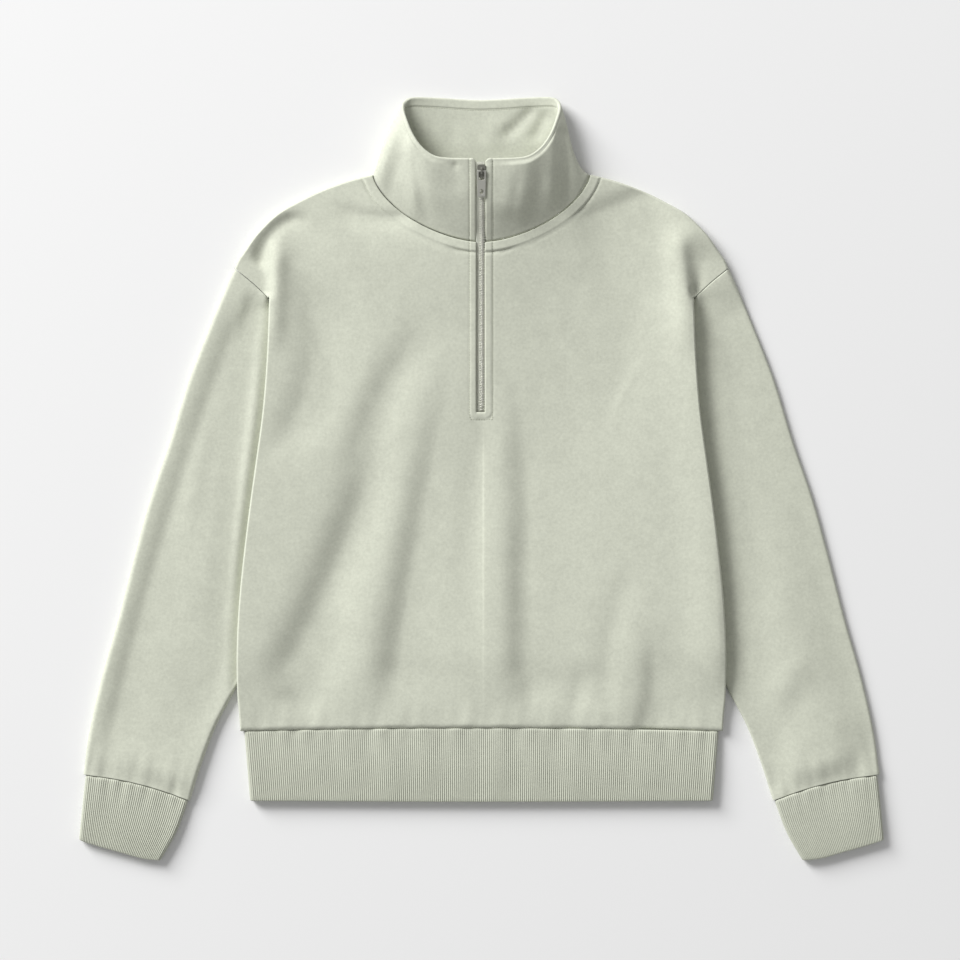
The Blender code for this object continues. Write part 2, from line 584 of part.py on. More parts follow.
def collar(finish):
    """Stand collar of doubled fleece: its front stands, its back lies on the surface."""
    columns, levels = 51, 6
    rows = collar_rows(columns)
    rise = np.linspace(0.0, 1.0, levels)[None, :, None]
    ruled = rows[:, None, :3] * (1.0 - rise) + rows[:, None, 3:] * rise
    normal = grid_normals(ruled)
    standing = ramp(ruled[..., 2:] / 14.0)
    outer = ruled + normal * COLLAR_BULGE * np.sin(math.pi * rise) * standing
    inner = outer - COLLAR_CLOTH * grid_normals(outer)
    upward = rows[:, 3:] - rows[:, :3]
    upward /= np.linalg.norm(upward, axis=1)[:, None]
    rim = (outer[:, -1] + inner[:, -1]) / 2.0 + upward * 1.3
    outer[..., 2] = np.maximum(outer[..., 2], 0.0)
    section = np.concatenate([outer, rim[:, None], inner[:, ::-1]], axis=1)
    size = section.shape[1]
    faces = []
    for i in range(columns - 1):
        for j in range(size):
            k = (j + 1) % size
            faces.append([i * size + j, i * size + k, (i + 1) * size + k, (i + 1) * size + j])
    faces.append(list(range(size)))
    faces.append([(columns - 1) * size + j for j in range(size)])
    return finish_mesh("collar", section.reshape(-1, 3), faces, finish)


def zip_line():
    """Height of the cloth beside the zip, and its direction, as a path of y and z."""
    body_y = np.linspace(SLOT_END_Y, 225.0, 9)
    body = np.column_stack([body_y, front_height(np.zeros(9), body_y) - 0.8])
    rows = collar_rows(3)[0]
    share = np.array([0.12, 0.35, 0.65, 0.9, 1.0])[:, None]
    stand = rows[None, 1:3] * (1.0 - share) + rows[None, 4:6] * share
    bulge = COLLAR_BULGE * np.sin(math.pi * share)
    stand = stand + bulge * np.array([[-0.24, 0.97]])
    return smooth_path(np.concatenate([body, stand]))


def zip_frame(path, y):
    """Point on the zip's line at y, with its unit direction up the zip and its normal."""
    fractions = np.linspace(0.0, 1.0, 400)
    line = path(fractions)
    here = float(np.interp(y, line[:, 0], fractions))
    point = path(here)
    ahead = path(min(here + 0.01, 1.0)) - path(here - 0.01)
    ahead /= np.linalg.norm(ahead)
    return point, ahead, np.array([-ahead[1], ahead[0]])


def strip(name, path, x_range, depth_range, y_range, count, finish):
    """Bar of rectangular section that follows the zip's line."""
    points, faces = [], []
    for y in np.linspace(*y_range, count):
        point, _, normal = zip_frame(path, y)
        for x, depth in ((x_range[0], depth_range[0]), (x_range[1], depth_range[0]),
                         (x_range[1], depth_range[1]), (x_range[0], depth_range[1])):
            yz = point + normal * depth
            points.append((x, yz[0], yz[1]))
    for i in range(count - 1):
        for j in range(4):
            k = (j + 1) % 4
            faces.append([i * 4 + j, i * 4 + k, i * 4 + 4 + k, i * 4 + 4 + j])
    faces += [[0, 1, 2, 3], [(count - 1) * 4 + j for j in range(4)]]
    return finish_mesh(name, points, faces, finish)


def prism(name, outline, low, high, finish, axis="Z"):
    """Solid of constant section: outline in millimetres, raised along Z or along X."""
    count = len(outline)
    points = []
    for level in (low, high):
        for a, b in outline:
            points.append((a, b, level) if axis == "Z" else (level, a, b))
    faces = [[i, (i + 1) % count, count + (i + 1) % count, count + i] for i in range(count)]
    faces += [list(range(count)), list(range(count, 2 * count))]
    return finish_mesh(name, points, faces, finish)


def combine(target, helper, operation):
    """Join a helper shape to a piece, or cut it out, and keep the helper out of the model."""
    step = target.modifiers.new(helper.name, "BOOLEAN")
    step.operation = operation
    step.object = helper
    helper.hide_render = True
    helper.display_type = "WIRE"
    helper.parent = target


def rounded_box(half_x, low_y, high_y, corner, steps=3):
    """Outline of a rectangle with round corners."""
    outline = []
    corners = [(half_x - corner, high_y - corner, 0), (corner - half_x, high_y - corner, 1),
               (corner - half_x, low_y + corner, 2), (half_x - corner, low_y + corner, 3)]
    for centre_x, centre_y, quarter in corners:
        for i in range(steps + 1):
            angle = (quarter + i / steps) * math.pi / 2
            outline.append((centre_x + corner * math.cos(angle), centre_y + corner * math.sin(angle)))
    return outline


def slider(finish):
    """Slider round its chain: two plates, the wedge between them, and the bridge on top.

    Local frame: origin on the pull's hinge, Y up the zip, Z off the cloth.
    """
    plate_top = -BRIDGE_HOLE / 2.0
    plate = [(4.2, 5.0), (2.6, 6.2), (-2.6, 6.2), (-4.2, 5.0), (-3.8, -6.5), (3.8, -6.5)]
    made = prism("zip_slider", plate, plate_top - SLIDER_PLATE, plate_top, finish)
    lower = prism("slider_lower_plate", plate, plate_top - 5.2, plate_top - 4.4, finish)
    wedge = prism("slider_wedge", rounded_box(1.1, 1.5, 5.4, 0.5), plate_top - 4.8,
                  plate_top - 0.5, finish)
    arch = [(-3.6, plate_top - 0.4), (-3.6, 0.9), (-2.8, 2.1), (2.8, 2.1), (3.6, 0.9),
            (3.6, plate_top - 0.4), (2.4, plate_top - 0.4), (2.4, 0.8), (1.9, 1.2),
            (-1.9, 1.2), (-2.4, 0.8), (-2.4, plate_top - 0.4)]
    bridge = prism("slider_bridge", arch, -0.9, 0.9, finish, axis="X")
    for helper in (lower, wedge, bridge):
        combine(made, helper, "UNION")
    return made


def pull(finish):
    """Pull tab: plate with a window round the bridge and an eyelet near its tip."""
    half = BAR_THICKNESS / 2.0
    plate = rounded_box(PULL_WIDTH / 2.0, 2.2 - PULL_LENGTH, 0.75, 0.7)
    tip = PULL_WIDTH / 2.0 - 0.6
    low = 2.2 - PULL_LENGTH
    plate = [(x * (0.86 if y < low + 3.0 else 1.0), y) for x, y in plate]
    made = prism("zip_pull", plate, -half, half, finish)
    window = prism("pull_window", rounded_box(2.7, -9.0, -0.75, 1.2), -2.0, 2.0, finish)
    turns = np.linspace(0.0, 2.0 * math.pi, 17)[:-1]
    oval = [(tip * 0.55 * math.cos(a), low + 6.0 + 3.2 * math.sin(a)) for a in turns]
    eyelet = prism("pull_eyelet", oval, -2.0, 2.0, finish)
    combine(made, window, "DIFFERENCE")
    combine(made, eyelet, "DIFFERENCE")
    return made


def zip_parts(tape_finish, metal):
    """Tapes, teeth, stops, slider and pull, all along the zip's line."""
    path = zip_line()
    chain = (CHAIN_CENTRE_X - CHAIN_WIDTH / 2.0, CHAIN_CENTRE_X + CHAIN_WIDTH / 2.0)
    tape_edge = SLOT_HALF_WIDTH - SEAM_GAP
    tape_depth = (-1.0 - TAPE_THICKNESS, -1.0)
    top_y, low_y = 316.7, SLOT_END_Y + SEAM_GAP
    strip("zip_tape_left", path, (-tape_edge, chain[0] - SEAM_GAP), tape_depth, (low_y, top_y), 24,
          tape_finish)
    strip("zip_tape_right", path, (chain[1] + SEAM_GAP, tape_edge), tape_depth, (low_y, top_y), 24,
          tape_finish)
    stop_y = low_y + 3.2
    strip("zip_bottom_stop", path, chain, (-2.0, 0.2), (low_y + 0.2, stop_y), 2, metal)
    strip("zip_chain", path, chain, (-2.0, -0.1), (stop_y + SEAM_GAP, SLIDER_Y + 1.0), 24, metal)
    point, ahead, normal = zip_frame(path, SLIDER_Y)
    tilt = math.atan2(ahead[1], ahead[0])
    hinge = point + normal * (BRIDGE_HOLE / 2.0 + SLIDER_PLATE + 0.35)
    for made, turn in ((slider(metal), tilt), (pull(metal), tilt + math.radians(PULL_TILT))):
        made.location = Vector((CHAIN_CENTRE_X, hinge[0], hinge[1])) * MM
        made.rotation_euler = (turn, 0.0, 0.0)


def main():
    for old in list(bpy.data.objects):
        bpy.data.objects.remove(old)
    fleece = material("fleece", srgb(204, 206, 190), 0.95)
    rib = material("rib_knit", srgb(184, 188, 171), 0.92)
    tape = material("zip_tape", srgb(176, 178, 164), 0.85)
    metal = material("gunmetal", srgb(150, 148, 138), 0.35, 1.0)
    body_panel("front_panel", True, 18.0, 17.0, fleece)
    body_panel("back_panel", False, 18.0, 36.0, fleece)
    sleeve(-1.0, LEFT_SLEEVE_FOLDS, "sleeve_left", fleece)
    sleeve(1.0, RIGHT_SLEEVE_FOLDS, "sleeve_right", fleece)
    cuff(-1.0, "cuff_left", rib)
    cuff(1.0, "cuff_right", rib)
    hem_band(rib)
    collar(fleece)
    zip_parts(tape, metal)
    for made in bpy.data.objects:
        if made.parent is None:
            made.location.y += OUTLINE_SHIFT_Y * MM


main()
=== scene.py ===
# %% [markdown]
# # A quarter zip sweatshirt, laid flat
#
# The sweatshirt is brushed fleece with ribbed cuffs and hem, a doubled stand collar and a short
# metal zip. It lies on its back on a white table and is seen from straight above. Every piece
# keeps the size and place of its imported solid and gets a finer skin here: soft folds, rolled
# edges, rib by rib knitting, stitched lines and single zip teeth.
#
# Plan: camera and light first, then the finishes, then the cloth from the hem up, then the zip.

import math

import bmesh
import bpy
import numpy as np
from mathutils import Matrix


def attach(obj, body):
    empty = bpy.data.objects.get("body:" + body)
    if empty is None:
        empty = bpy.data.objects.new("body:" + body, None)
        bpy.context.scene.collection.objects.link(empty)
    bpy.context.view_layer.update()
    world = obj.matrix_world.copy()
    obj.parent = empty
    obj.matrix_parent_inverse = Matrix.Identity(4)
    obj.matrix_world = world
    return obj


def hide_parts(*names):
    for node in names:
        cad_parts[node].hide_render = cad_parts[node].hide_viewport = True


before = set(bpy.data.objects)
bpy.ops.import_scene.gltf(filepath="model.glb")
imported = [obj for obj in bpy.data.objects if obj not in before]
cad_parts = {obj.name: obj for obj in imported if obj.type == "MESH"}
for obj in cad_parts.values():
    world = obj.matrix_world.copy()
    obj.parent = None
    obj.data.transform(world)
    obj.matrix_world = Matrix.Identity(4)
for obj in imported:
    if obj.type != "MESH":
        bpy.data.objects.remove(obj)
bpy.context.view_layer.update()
print("nodes:", sorted(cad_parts))

# %% [markdown]
# Lengths below are millimetres on a flat drawing whose zero is the picture's middle. They are
# made metres only when a mesh is filled. `SHIFT_Y` then moves the drawing's zero to the middle of
# the garment's outline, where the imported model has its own.

# %% Units
MM = 0.001
SHIFT_Y = -2.45
FLEECE = 2.0
RIB_CLOTH = 2.8
COLLAR_CLOTH = 3.4


# %% [markdown]
# ## Small tools for shapes
#
# Three curves do most of the work. A `ramp` goes softly from 0 to 1. A `smooth_path` runs
# through a few measured points. A `ripple` is a slow, uneven swell made of a few sine waves,
# which keeps cloth from looking ruled. Folds are the fourth: a bell curve across a bowed line.

# %% Soft steps, smooth paths and slow ripples
def ramp(value):
    """Soft step: 3v^2 - 2v^3 between 0 and 1, flat outside."""
    value = np.clip(value, 0.0, 1.0)
    return value * value * (3.0 - 2.0 * value)


def unit(vectors):
    """Vectors of length one, in the same directions."""
    return vectors / np.linalg.norm(vectors, axis=-1, keepdims=True)


def walked_along(points, axis=0):
    """Length walked along a line of points, from 0 at its first point."""
    steps = np.linalg.norm(np.diff(points, axis=axis), axis=-1)
    return np.insert(np.cumsum(steps, axis=axis), 0, 0.0, axis=axis)


def cubic_between(rows, slopes, span, t, length=1.0):
    """Hermite curve from row `span` to the next one, at a share t of the way between them."""
    return ((2 * t**3 - 3 * t**2 + 1) * rows[span] + (t**3 - 2 * t**2 + t) * length * slopes[span]
            + (3 * t**2 - 2 * t**3) * rows[span + 1] + (t**3 - t**2) * length * slopes[span + 1])


def smooth_path(points, samples=900):
    """Cubic curve through the points, walked at an even pace by a share from 0 to 1."""
    points = np.array(points, float)
    knots = walked_along(points)
    slopes = np.gradient(points, knots, axis=0)
    stops = np.linspace(0.0, knots[-1], samples)
    span = np.clip(np.searchsorted(knots, stops, side="right") - 1, 0, len(knots) - 2)
    length = (knots[span + 1] - knots[span])[:, None]
    fine = cubic_between(points, slopes, span, (stops - knots[span])[:, None] / length, length)
    walked = walked_along(fine)

    def at(share):
        here = np.asarray(share, float) * walked[-1]
        return np.stack([np.interp(here, walked, column) for column in fine.T], axis=-1)

    at.length = walked[-1]
    return at


def ripple(x, y, size, seed, waves=7):
    """Sum of sine waves of about one size, in drawn directions: about -1 to 1."""
    draw = np.random.default_rng(seed)
    total = np.zeros(np.broadcast(x, y).shape)
    for _ in range(waves):
        turn, phase, scale = draw.uniform(0.0, 2.0 * math.pi, 3) * (1.0, 1.0, 1.0 / (2.0 * math.pi))
        pace = 2.0 * math.pi * (0.6 + 0.8 * scale) / size
        total += np.sin(pace * (x * math.cos(turn) + y * math.sin(turn)) + phase)
    return total / math.sqrt(waves * 2.0)


def fold_field(x, y, folds):
    """Sum of troughs and ridges: height x bell curve across a bowed line x soft ends."""
    total = np.zeros(np.broadcast(x, y).shape)
    for x0, y0, x1, y1, bow, right_width, left_width, height, grow, fade in folds:
        length = math.hypot(x1 - x0, y1 - y0)
        along_x, along_y = (x1 - x0) / length, (y1 - y0) / length
        along = ((x - x0) * along_x + (y - y0) * along_y) / length
        held = np.clip(along, 0.0, 1.0)
        across = (y - y0) * along_x - (x - x0) * along_y - bow * 4.0 * held * (1.0 - held)
        ends = ramp(along / grow) * ramp((1.0 - along) / fade)
        half_width = np.where(across < 0.0, right_width, left_width)
        total += height * ends * np.exp(-((across / half_width) ** 2))
    return total


def spaced(*stretches):
    """Stations from 0 up: each stretch is (length, cell size), all joined and set to 0..1."""
    steps = [np.full(max(1, round(length / cell)), length / max(1, round(length / cell)))
             for length, cell in stretches]
    walked = np.insert(np.cumsum(np.concatenate(steps)), 0, 0.0)
    return walked / walked[-1]


# %% [markdown]
# A piece is a grid of points. `grid_piece` joins neighbours with four-sided faces, gives each
# point a place on the flat cloth (the UV map, in metres) and can close the grid in either
# direction, which makes a tube or a ring. `thicken` gives a one-sided sheet its wall.

# %% From a grid of points to a finished piece
def put_in_scene(name, data):
    """New object with that mesh, lamp or camera, linked to the scene."""
    made = bpy.data.objects.new(name, data)
    bpy.context.scene.collection.objects.link(made)
    return made


def grid_piece(name, points, uv, close_rows=False, close_columns=False, keep=None, flip=False):
    """Mesh of a grid: points (rows, columns, 3) in millimetres, uv (rows, columns, 2) in mm."""
    rows, columns = points.shape[:2]
    number = np.arange(rows * columns).reshape(rows, columns)
    down = np.roll(number, -1, axis=0) if close_rows else number[1:]
    here = number if close_rows else number[:-1]
    corners = [here, np.roll(here, -1, axis=1), np.roll(down, -1, axis=1), down]
    if not close_columns:
        corners = [corner[:, :-1] for corner in corners]
    faces = np.stack(corners[::-1] if flip else corners, axis=-1)
    faces = faces[keep] if keep is not None else faces.reshape(-1, 4)
    used, compact = np.unique(faces, return_inverse=True)
    faces = compact.reshape(-1, 4)
    mesh = bpy.data.meshes.new(name)
    mesh.from_pydata(place(points.reshape(-1, 3)[used]).tolist(), [], faces.tolist())
    layer = mesh.uv_layers.new(name="cloth")
    flat = (uv.reshape(-1, 2)[used] * MM)[faces.ravel()]
    layer.data.foreach_set("uv", flat.astype(np.float32).ravel())
    mesh.shade_smooth()
    return put_in_scene(name, mesh)


def weld(piece):
    """Merges points that lie on one another, which closes the poles and rounded ends of grids."""
    shape = bmesh.new()
    shape.from_mesh(piece.data)
    bmesh.ops.remove_doubles(shape, verts=shape.verts, dist=1e-6)
    bmesh.ops.dissolve_degenerate(shape, edges=shape.edges, dist=1e-7)
    shape.to_mesh(piece.data)
    shape.free()
    return piece


def place(points):
    """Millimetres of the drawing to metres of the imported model."""
    return (np.asarray(points, float) + [0.0, SHIFT_Y, 0.0]) * MM


def thicken(piece, wall):
    """Gives a sheet a wall of that many millimetres, on the side away from its faces."""
    step = piece.modifiers.new("wall", "SOLIDIFY")
    step.thickness = wall * MM
    step.offset = -1.0
    step.use_even_offset = False


def set_mask(piece, name, values):
    """Stores one number for each point of a piece, for its material to read."""
    layer = piece.data.attributes.new(name, "FLOAT", "POINT")
    layer.data.foreach_set("value", np.asarray(values, np.float32).ravel())


def dress(piece, finish, body="garment", replaced=()):
    """Gives a piece its finish in a material slot and its body, and hides the solids that it stands for.
    """
    piece.data.materials.append(finish)
    if replaced:
        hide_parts(*replaced)
    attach(piece, body)
    print(piece.name, len(piece.data.vertices), "points,", len(piece.data.polygons), "faces")
    return piece


# %% [markdown]
# ## Camera, table and light
#
# The picture was taken from straight above with the garment square in the frame. A long lens
# keeps the standing collar from leaning outward. The light could be a sun with hard shadows, but
# the picture's shadows are short and soft. So it is one large square lamp low on the upper left,
# with an even white room around it, and folds read as slow changes of grey.

# %% Camera straight above the table
LENS = 135.0
SENSOR = 36.0
VIEW_WIDTH = 960.0
CLOTH_LEVEL = 8.0
PICTURE_MIDDLE = (-1.5, 1.5)
camera_height = VIEW_WIDTH * LENS / SENSOR + CLOTH_LEVEL
camera_data = bpy.data.cameras.new("camera")
camera_data.lens = LENS
camera_data.sensor_width = SENSOR
camera_data.clip_end = 20.0
camera = put_in_scene("camera", camera_data)
camera.location = place([*PICTURE_MIDDLE, camera_height])
bpy.context.scene.camera = camera
print("camera height", round(camera.location.z, 3), "m")

# %% White table and soft light
TABLE_HALF = 6000.0
LIGHT_PLACE = (-7.2, 6.75, 4.9)
LIGHT_SIZE = 5.6
LIGHT_WATTS = 1813.0
ROOM_LIGHT = 0.36
WHITE = (1.0, 1.0, 1.0, 1.0)


def plain_material(name, colour, roughness):
    """Principled material of one colour and roughness."""
    made = bpy.data.materials.new(name)
    made.use_nodes = True
    shader = made.node_tree.nodes["Principled BSDF"]
    shader.inputs["Base Color"].default_value = colour
    shader.inputs["Roughness"].default_value = roughness
    return made


table_x, table_y = np.meshgrid([-TABLE_HALF, TABLE_HALF], [-TABLE_HALF, TABLE_HALF])
table_grid = np.dstack([table_x, table_y, np.zeros((2, 2))])
table = grid_piece("table", table_grid, table_grid[..., :2])
table.data.materials.append(plain_material("white_table", (0.86, 0.86, 0.86, 1.0), 0.7))


lamp = bpy.data.lights.new("key", "AREA")
lamp.shape = "SQUARE"
lamp.size = LIGHT_SIZE
lamp.energy = LIGHT_WATTS
key = put_in_scene("key", lamp)
key.location = LIGHT_PLACE
key.rotation_euler = (-key.location).to_track_quat("-Z", "Y").to_euler()
room = bpy.data.worlds.new("white_room")
room.use_nodes = True
room_sockets = room.node_tree.nodes["Background"].inputs
room_sockets["Color"].default_value = WHITE
room_sockets["Strength"].default_value = ROOM_LIGHT
bpy.context.scene.world = room
bpy.context.scene.view_settings.view_transform = "Standard"
print("light", round(key.location.length, 1), "m away,", LIGHT_SIZE, "m wide")


# %% [markdown]
# ## Finishes
#
# Brushed fleece has no shine. Its face is a short felt of fibres, so it shows a fine, cloudy
# mottle and a velvety light edge. Two node groups carry the cloth effects: `felt` gives cloudy
# colour and a fibre height, `rib_stitch` gives the small V stitches that run along each rib.
# Real fibres could be hair, but at this distance they would be finer than a pixel, and bump
# gives the same softness for nothing. The shader itself stays in each material.

# %% Node helpers
def new_group(name, inputs, outputs):
    """Shader node group with named sockets; inputs carry a default value."""
    group = bpy.data.node_groups.new(name, "ShaderNodeTree")
    for socket, kind, value in inputs:
        made = group.interface.new_socket(socket, in_out="INPUT", socket_type=kind)
        if value is not None:
            made.default_value = value
    for socket, kind in outputs:
        group.interface.new_socket(socket, in_out="OUTPUT", socket_type=kind)
    return group, group.nodes.new("NodeGroupInput"), group.nodes.new("NodeGroupOutput")


def math_node(tree, operation, first, second=None, third=None):
    """One Math node; each input is a socket or a number."""
    node = tree.nodes.new("ShaderNodeMath")
    node.operation = operation
    for socket, value in zip(node.inputs, (first, second, third)):
        if isinstance(value, (int, float)):
            socket.default_value = value
        elif value is not None:
            tree.links.new(value, socket)
    return node.outputs[0]


def noise_node(tree, vector, scale, detail=2.0, roughness=0.5, stretch=None):
    """Noise of a given scale, in turns per metre, read along a vector."""
    if stretch is not None:
        mapping = tree.nodes.new("ShaderNodeMapping")
        mapping.inputs["Scale"].default_value = stretch
        tree.links.new(vector, mapping.inputs["Vector"])
        vector = mapping.outputs["Vector"]
    node = tree.nodes.new("ShaderNodeTexNoise")
    node.inputs["Scale"].default_value = scale
    node.inputs["Detail"].default_value = detail
    node.inputs["Roughness"].default_value = roughness
    tree.links.new(vector, node.inputs["Vector"])
    return node.outputs["Fac"]


def separate(tree, vector):
    """X, Y and Z of a vector, as sockets."""
    node = tree.nodes.new("ShaderNodeSeparateXYZ")
    tree.links.new(vector, node.inputs[0])
    return node.outputs


def group_node(tree, group, vector):
    """A node group placed in a material, reading its place from a vector."""
    node = tree.nodes.new("ShaderNodeGroup")
    node.node_tree = group
    tree.links.new(vector, node.inputs["Place"])
    return node


def add_bump(tree, height, distance, strength=1.0):
    """Bump from a height to the shader's normal; the distance is in millimetres."""
    node = tree.nodes.new("ShaderNodeBump")
    node.inputs["Strength"].default_value = strength
    node.inputs["Distance"].default_value = distance * MM
    tree.links.new(height, node.inputs["Height"])
    tree.links.new(node.outputs["Normal"], tree.nodes["Principled BSDF"].inputs["Normal"])


def tint(tree, colour, amount):
    """A colour made lighter or darker: colour x amount, channel by channel."""
    node = tree.nodes.new("ShaderNodeVectorMath")
    node.operation = "SCALE"
    tree.links.new(colour, node.inputs[0])
    tree.links.new(amount, node.inputs["Scale"])
    return node.outputs[0]


# %% Felt of brushed fleece
felt, felt_in, felt_out = new_group(
    "felt",
    [("Colour", "NodeSocketColor", (0.6, 0.6, 0.5, 1.0)), ("Place", "NodeSocketVector", None),
     ("Mottle", "NodeSocketFloat", 0.06)],
    [("Colour", "NodeSocketColor"), ("Height", "NodeSocketFloat")])
felt_place = felt_in.outputs["Place"]
clouds = noise_node(felt, felt_place, 60.0, 3.0, 0.6)
clumps = noise_node(felt, felt_place, 330.0, 3.0, 0.65)
fibres = noise_node(felt, felt_place, 1500.0, 2.0, 0.7, (1.0, 0.45, 1.0))
mottled = math_node(felt, "MULTIPLY_ADD", clumps, 0.65, math_node(felt, "MULTIPLY", clouds, 0.35))
centred = math_node(felt, "SUBTRACT", mottled, 0.5)
shade = math_node(felt, "MULTIPLY_ADD", centred, felt_in.outputs["Mottle"], 1.0)
felt.links.new(tint(felt, felt_in.outputs["Colour"], shade), felt_out.inputs["Colour"])
nap = math_node(felt, "MULTIPLY_ADD", fibres, 0.35, math_node(felt, "MULTIPLY", clumps, 0.65))
felt.links.new(nap, felt_out.inputs["Height"])


# %% Stitches along a rib
RIB_PITCH = 2.1
STITCH = 1.25
stitch, stitch_in, stitch_out = new_group(
    "rib_stitch",
    [("Place", "NodeSocketVector", None), ("Ribs", "NodeSocketFloat", RIB_PITCH * MM),
     ("Stitch", "NodeSocketFloat", STITCH * MM)],
    [("Height", "NodeSocketFloat")])
rib_x, rib_y, _ = separate(stitch, stitch_in.outputs["Place"])
rib_turn = math_node(stitch, "DIVIDE", rib_x, stitch_in.outputs["Ribs"])
from_middle = math_node(stitch, "ABSOLUTE", math_node(stitch, "SUBTRACT", math_node(
    stitch, "FRACT", rib_turn), 0.5))
climb = math_node(stitch, "MULTIPLY_ADD", from_middle, 1.3,
                  math_node(stitch, "DIVIDE", rib_y, stitch_in.outputs["Stitch"]))
loops = math_node(stitch, "MULTIPLY_ADD", math_node(stitch, "COSINE", math_node(
    stitch, "MULTIPLY", climb, 2.0 * math.pi)), 0.5, 0.5)
stitch.links.new(loops, stitch_out.inputs["Height"])


# %% Cloth materials
def srgb(red, green, blue):
    """Linear colour of an 8-bit display colour."""
    return tuple(((value / 255.0 + 0.055) / 1.055) ** 2.4 for value in (red, green, blue)) + (1.0,)


def cloth_material(name, colour, mottle, sheen, ribbed=False, bump=0.25):
    """Principled cloth: felt colour, fibre bump, and where it is ribbed, stitches and painted shade in the
    rib valleys.
    """
    made = plain_material(name, colour, 0.95)
    tree = made.node_tree
    shader = tree.nodes["Principled BSDF"]
    shader.inputs["Specular IOR Level"].default_value = 0.15
    shader.inputs["Sheen Weight"].default_value = sheen
    shader.inputs["Sheen Roughness"].default_value = 0.6
    coordinates = tree.nodes.new("ShaderNodeTexCoord")
    group = group_node(tree, felt, coordinates.outputs["Object"])
    group.inputs["Colour"].default_value = colour
    group.inputs["Mottle"].default_value = mottle
    finish_colour = group.outputs["Colour"]
    relief = group.outputs["Height"]
    if ribbed:
        # painted shade: the "valley" mask darkens the colour in the rib valleys, where little light
        # reaches
        depth = tree.nodes.new("ShaderNodeAttribute")
        depth.attribute_name = "valley"
        darker = math_node(tree, "MULTIPLY_ADD", depth.outputs["Fac"], -0.22, 1.0)
        finish_colour = tint(tree, finish_colour, darker)
        stitched = group_node(tree, stitch, coordinates.outputs["UV"])
        relief = math_node(tree, "MULTIPLY_ADD", stitched.outputs["Height"], 0.8, relief)
    tree.links.new(finish_colour, shader.inputs["Base Color"])
    add_bump(tree, relief, 0.4, bump)
    return made


fleece = cloth_material("fleece", srgb(200, 203, 187), 0.55, 0.25, bump=0.35)
rib_knit = cloth_material("rib_knit", srgb(202, 205, 189), 0.30, 0.15, ribbed=True)
print("cloth finishes:", fleece.name, "and", rib_knit.name)

# %% [markdown]
# ## The form of the body
#
# The front lies on the back, and both climb over the inner edges of the sleeves. The formulas
# are those of the solids with a few finer terms, so the skins lie on them. Each fold is a row of
# a table, because a hand can then move it without touching the others.

# %% Heights of the body
REST_TOP = 9.0
BODY_RISE = 5.5
HEM_SEAM_Y = -246.5
NECK_RISE = 4.0
UNDER_LIFT = 4.9
LIFT_START = 23.0
LIFT_END = 10.0
EDGE_STACK = 4.7
LEAST_ROOM = 1.1
CAP_TOP = 9.2
CAP_LEAN = 0.12
CAP_WIDTH = 9.0
CAP_WIDENING = 0.35
CAP_REACH = 70.0
SIDE_TOP = (212.3, 183.5)
SLEEVE_UNDER_BODY = np.array(
    [(-226.0, 262.0), (-205.1, 245.0), (-74.3, 192.5), (56.5, 140.0), (88.0, 152.0),
     (136.5, 180.0), (183.1, 212.7), (190.0, 225.0), (200.0, 250.0), (218.0, 280.0)])

# start x, start y, end x, end y, bow towards the left hand, half width on the right hand and on
# the left hand, height (a trough is negative), shares of the length that grow and that fade
FRONT_FOLDS = [
    (-36.2, 177.7, -141.5, -16.0, -10.3, 18.3, 22.8, -3.9, 0.40, 0.35),
    (-74.8, 135.5, -209.7, -221.0, 15.1, 21.3, 30.8, -7.7, 0.50, 0.15),
    (-22.3, 138.3, -90.0, -237.5, -3.4, 19.6, 67.9, -7.2, 0.45, 0.15),
    (34.8, 137.2, 52.2, -241.5, 6.4, 18.0, 85.0, -6.3, 0.35, 0.12),
    (32.8, 173.8, -5.4, -225.0, -21.7, 17.1, 17.2, -2.0, 0.40, 0.40),
    (166.2, -130.4, 150.4, -288.8, 15.5, 12.3, 42.5, -4.1, 0.40, 0.12),
    (151.9, -67.6, 120.8, -232.2, -4.8, 12.8, 13.2, -1.6, 0.40, 0.12),
    (107.8, -174.0, 78.7, -279.6, -1.3, 8.6, 12.7, -1.6, 0.40, 0.20),
    (-203.4, 247.4, -223.4, 6.4, 52.3, 20.4, 40.5, -5.1, 0.35, 0.30),
    (197.2, 294.5, 118.9, 0.5, -18.7, 139.7, 44.7, -5.5, 0.40, 0.40),
    (-168.7, 271.5, -205.4, 221.7, -0.2, 10.0, 47.4, -2.5, 0.30, 0.30),
    (-156.3, 279.6, -58.4, 267.8, -9.9, 12.9, 7.2, -2.5, 0.30, 0.30),
    (83.0, 252.1, 195.6, 297.6, 1.3, 61.6, 11.5, -4.6, 0.30, 0.30),
    (147.4, 267.0, 215.3, 199.3, 3.8, 10.0, 7.3, -0.8, 0.30, 0.30),
    (-134.6, -119.9, -199.8, -233.4, 16.1, 21.0, 26.5, -4.2, 0.40, 0.15),
    (36.9, -24.1, 36.8, -207.4, 0.8, 11.8, 10.7, -1.9, 0.40, 0.12),
    (207.0, 120.0, 196.0, 262.0, 0.0, 14.0, 14.0, 4.5, 0.35, 0.20),
    (-207.0, 120.0, -203.0, 250.0, 0.0, 10.0, 10.0, 3.5, 0.35, 0.20),
    (205.0, 205.0, 236.0, -225.0, 8.0, 26.0, 12.0, 4.5, 0.20, 0.15),
]

# valleys that run down between the side ridges and the shoulder caps, in the same columns
CAP_FOLDS = [(204.0, 250.0, 221.0, 160.0, 0.0, 6.0, 8.0, -3.0, 0.35, 0.25),
             (-178.0, 268.0, -224.0, 211.0, -12.0, 7.0, 9.0, -4.2, 0.20, 0.15)]


